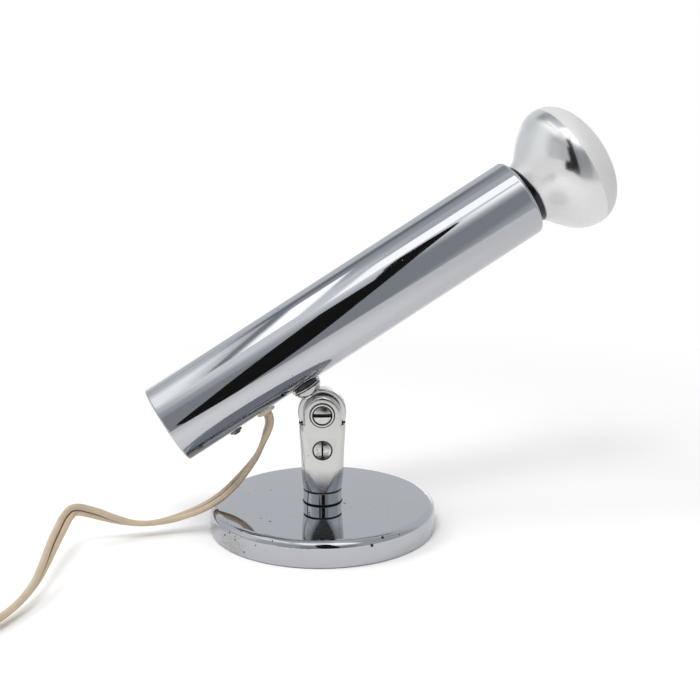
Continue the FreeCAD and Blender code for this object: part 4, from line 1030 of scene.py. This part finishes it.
def studio_world(fill):
    """World seen white by the camera, as an even fill by dull surfaces, and as cards by the chrome."""
    world = bpy.data.worlds.new("studio")
    world.use_nodes = True
    tree = world.node_tree
    tree.nodes.clear()
    way = split(wire(tree, "ShaderNodeTexCoord").outputs["Generated"])
    around = in_degrees("ARCTAN2", way["X"], times(way["Y"], -1.0))
    behind = in_degrees("ARCTAN2", times(way["X"], -1.0), way["Y"])
    height = in_degrees("ARCSINE", way["Z"])
    left = maths("ADD", times(way["X"], -LEFT_ACROSS), times(way["Y"], -LEFT_AHEAD))
    depth = maths("ADD", times(way["X"], LEFT_AHEAD), times(way["Y"], -LEFT_ACROSS))
    over = in_degrees("ARCTAN2", way["Z"], left)
    along = in_degrees("ARCSINE", depth)
    group = card_group()
    colour = studio_tint(STUDIO_LEVEL)
    sides = ((around, height, STUDIO_FRONT), (behind, height, STUDIO_BACK), (along, over, STUDIO_LEFT))
    for across, rising, cards in sides:
        for level, *card in cards:
            sockets = dict(zip(CARD_LABELS, card), Round=across, Height=rising)
            mask = joined("ShaderNodeGroup", sockets, node_tree=group)
            colour = mixed(mask.outputs["Mask"], colour, studio_tint(level))
    seen = wire(tree, "ShaderNodeLightPath").outputs
    dull = mixed(seen["Is Glossy Ray"], grey(fill), colour)
    shown = maths("MAXIMUM", seen["Is Camera Ray"], seen["Is Transmission Ray"])
    shell = joined("ShaderNodeBackground", {"Color": mixed(shown, dull, grey(1.0)), "Strength": 1.0})
    joined("ShaderNodeOutputWorld", {"Surface": shell.outputs[0]})
    return world


def glow(tree, level):
    """A shader that gives off a neutral level."""
    return wire(tree, "ShaderNodeEmission", {"Color": grey(level), "Strength": 1.0}).outputs[0]


def blend_shader(share, first, second):
    """Two shaders mixed by a share."""
    return joined("ShaderNodeMixShader", {0: share, 1: first, 2: second}).outputs[0]


def table_paper(level):
    """Pale table, white where the camera looks past, and open beyond its front edge in the chrome."""
    material, tree, shader, place = new_finish("table_paper")
    fleck = mixed(noise(place, 900.0), grey(level), grey(level * 0.985))
    feed(shader, {"Roughness": 0.9, "Specular IOR Level": 0.0, "Base Color": fleck})
    away = vector_maths("LENGTH", place)
    path = wire(tree, "ShaderNodeLightPath").outputs
    looked = times(eased(away, 0.20, 0.50), path["Is Camera Ray"])
    mirrored = maths("MAXIMUM", path["Is Glossy Ray"], path["Is Transmission Ray"])
    white = blend_shader(looked, shader.outputs[0], glow(tree, 1.0))
    table = blend_shader(times(eased(away, 0.10, 0.30), mirrored), white, glow(tree, 0.90))
    spot = split(place)
    turned = times(maths("MAXIMUM", minus(EDGE_TURN, spot["X"]), 0.0), -EDGE_SLOPE)
    front = added(spot["Y"], -1.0, turned)
    past = eased(front, EDGE_AWAY - EDGE_SOFT, EDGE_AWAY + EDGE_SOFT)
    open_air = wire(tree, "ShaderNodeBsdfTransparent").outputs[0]
    whole = blend_shader(times(past, mirrored), table, open_air)
    feed(tree.nodes["Material Output"], {"Surface": whole})
    return material


def table_top(level):
    """Disc of a table: rings of points about the middle, closed by a face inside the first."""
    turn = np.linspace(0, 2 * math.pi, TABLE_AROUND, endpoint=False)
    reach = np.array(TABLE_RINGS)[:, None]
    rings = np.stack([reach * np.cos(turn), reach * np.sin(turn), 0.0 * reach * turn], axis=-1)
    faces = ring_faces(len(TABLE_RINGS), TABLE_AROUND).tolist() + [list(range(TABLE_AROUND))]
    mesh = bpy.data.meshes.new("table_top")
    mesh.from_pydata(rings.reshape(-1, 3).tolist(), [], faces)
    mesh.update()
    mesh.materials.append(table_paper(level))
    return add_object("table_top", mesh)


def soft_lamp(name, power, place):
    """A square soft lamp at a place, turned to the lamps' aim, unseen in the chrome."""
    data = bpy.data.lights.new(name, "AREA")
    data.energy = power
    data.size = LAMP_SIZE
    lamp = add_object(name, data)
    ahead = unit(np.array(LAMP_AIM) - np.array(place))
    lamp.location = place
    lamp.rotation_euler = (math.acos(-ahead[2]), 0.0, math.atan2(ahead[1], ahead[0]) - math.pi / 2)
    lamp.visible_glossy = False


def dark_sheet(name, outline, nearest):
    """Upright sheet in the plane in front of the lamp, mirrored only from further off than nearest."""
    mesh = bpy.data.meshes.new(name)
    corners = [(left, -GAP_AWAY, height) for left, height in outline]
    mesh.from_pydata(corners, [], [tuple(range(len(corners)))])
    sheet = add_object(name, mesh)
    material, tree, shader, place = new_finish(name)
    deep = mixed(noise(place, 12.0), grey(0.010), grey(0.016))
    far = wire(tree, "ShaderNodeLightPath").outputs["Ray Length"]
    feed(shader, {
        "Specular IOR Level": 0.0, "Base Color": mixed(1.0, deep, grey(0.0)),
        "Emission Color": deep, "Emission Strength": 1.0,
        "Alpha": eased(far, nearest - GAP_FOOT_SOFT, nearest + GAP_FOOT_SOFT)})
    mesh.materials.append(material)
    sheet.visible_camera = sheet.visible_diffuse = sheet.visible_shadow = False
    return sheet


class SPOTLIGHT_OT_stage(bpy.types.Operator):
    """Lays the table top and sets the plain studio light and what the chrome mirrors"""
    bl_idname = "spotlight.stage"
    bl_label = "Studio"

    def execute(self, context):
        studio = context.scene.spotlight_studio
        table_top(studio.floor)
        dark_sheet("dark_gap", GAP_OUTLINE, 0.0)
        dark_sheet("gap_foot", GAP_FOOT, GAP_FOOT_NEAREST)
        context.scene.world = studio_world(studio.fill)
        soft_lamp("key_lamp", studio.key, KEY_PLACE)
        soft_lamp("side_lamp", studio.key * SIDE_SHARE, SIDE_PLACE)
        context.scene.view_settings.view_transform = "Standard"
        return {"FINISHED"}


class SPOTLIGHT_PT_panel(bpy.types.Panel):
    """Lists the lamp's settings and its steps in the order in which they run"""
    bl_idname = "SPOTLIGHT_PT_panel"
    bl_label = "Desk Spotlight Lamp"
    bl_space_type = "VIEW_3D"
    bl_region_type = "UI"
    bl_category = "Spotlight"

    def draw(self, context):
        layout = self.layout
        for group in SETTINGS:
            settings = getattr(context.scene, group)
            box = layout.box()
            for name in settings.__annotations__:
                box.prop(settings, name)
        for step in STEPS:
            layout.operator(step.bl_idname)


STEPS = (
    SPOTLIGHT_OT_camera,
    SPOTLIGHT_OT_cord,
    SPOTLIGHT_OT_chrome,
    SPOTLIGHT_OT_fasteners,
    SPOTLIGHT_OT_mouldings,
    SPOTLIGHT_OT_wiring,
    SPOTLIGHT_OT_bulb,
    SPOTLIGHT_OT_stage,
)
SETTINGS = {
    "spotlight_sizes": SpotlightSizes,
    "spotlight_colours": SpotlightColours,
    "spotlight_studio": SpotlightStudio,
}
KINDS = (*SETTINGS.values(), *STEPS, SPOTLIGHT_PT_panel)


def register():
    for kind in KINDS:
        bpy.utils.register_class(kind)
    for name, kind in SETTINGS.items():
        setattr(bpy.types.Scene, name, PointerProperty(type=kind))


def unregister():
    for name in SETTINGS:
        delattr(bpy.types.Scene, name)
    for kind in reversed(KINDS):
        bpy.utils.unregister_class(kind)


def main():
    register()
    for step in STEPS:
        family, action = step.bl_idname.split(".")
        if getattr(getattr(bpy.ops, family), action)() != {"FINISHED"}:
            raise RuntimeError(step.bl_label + " could not finish")


if __name__ == "__main__":
    main()
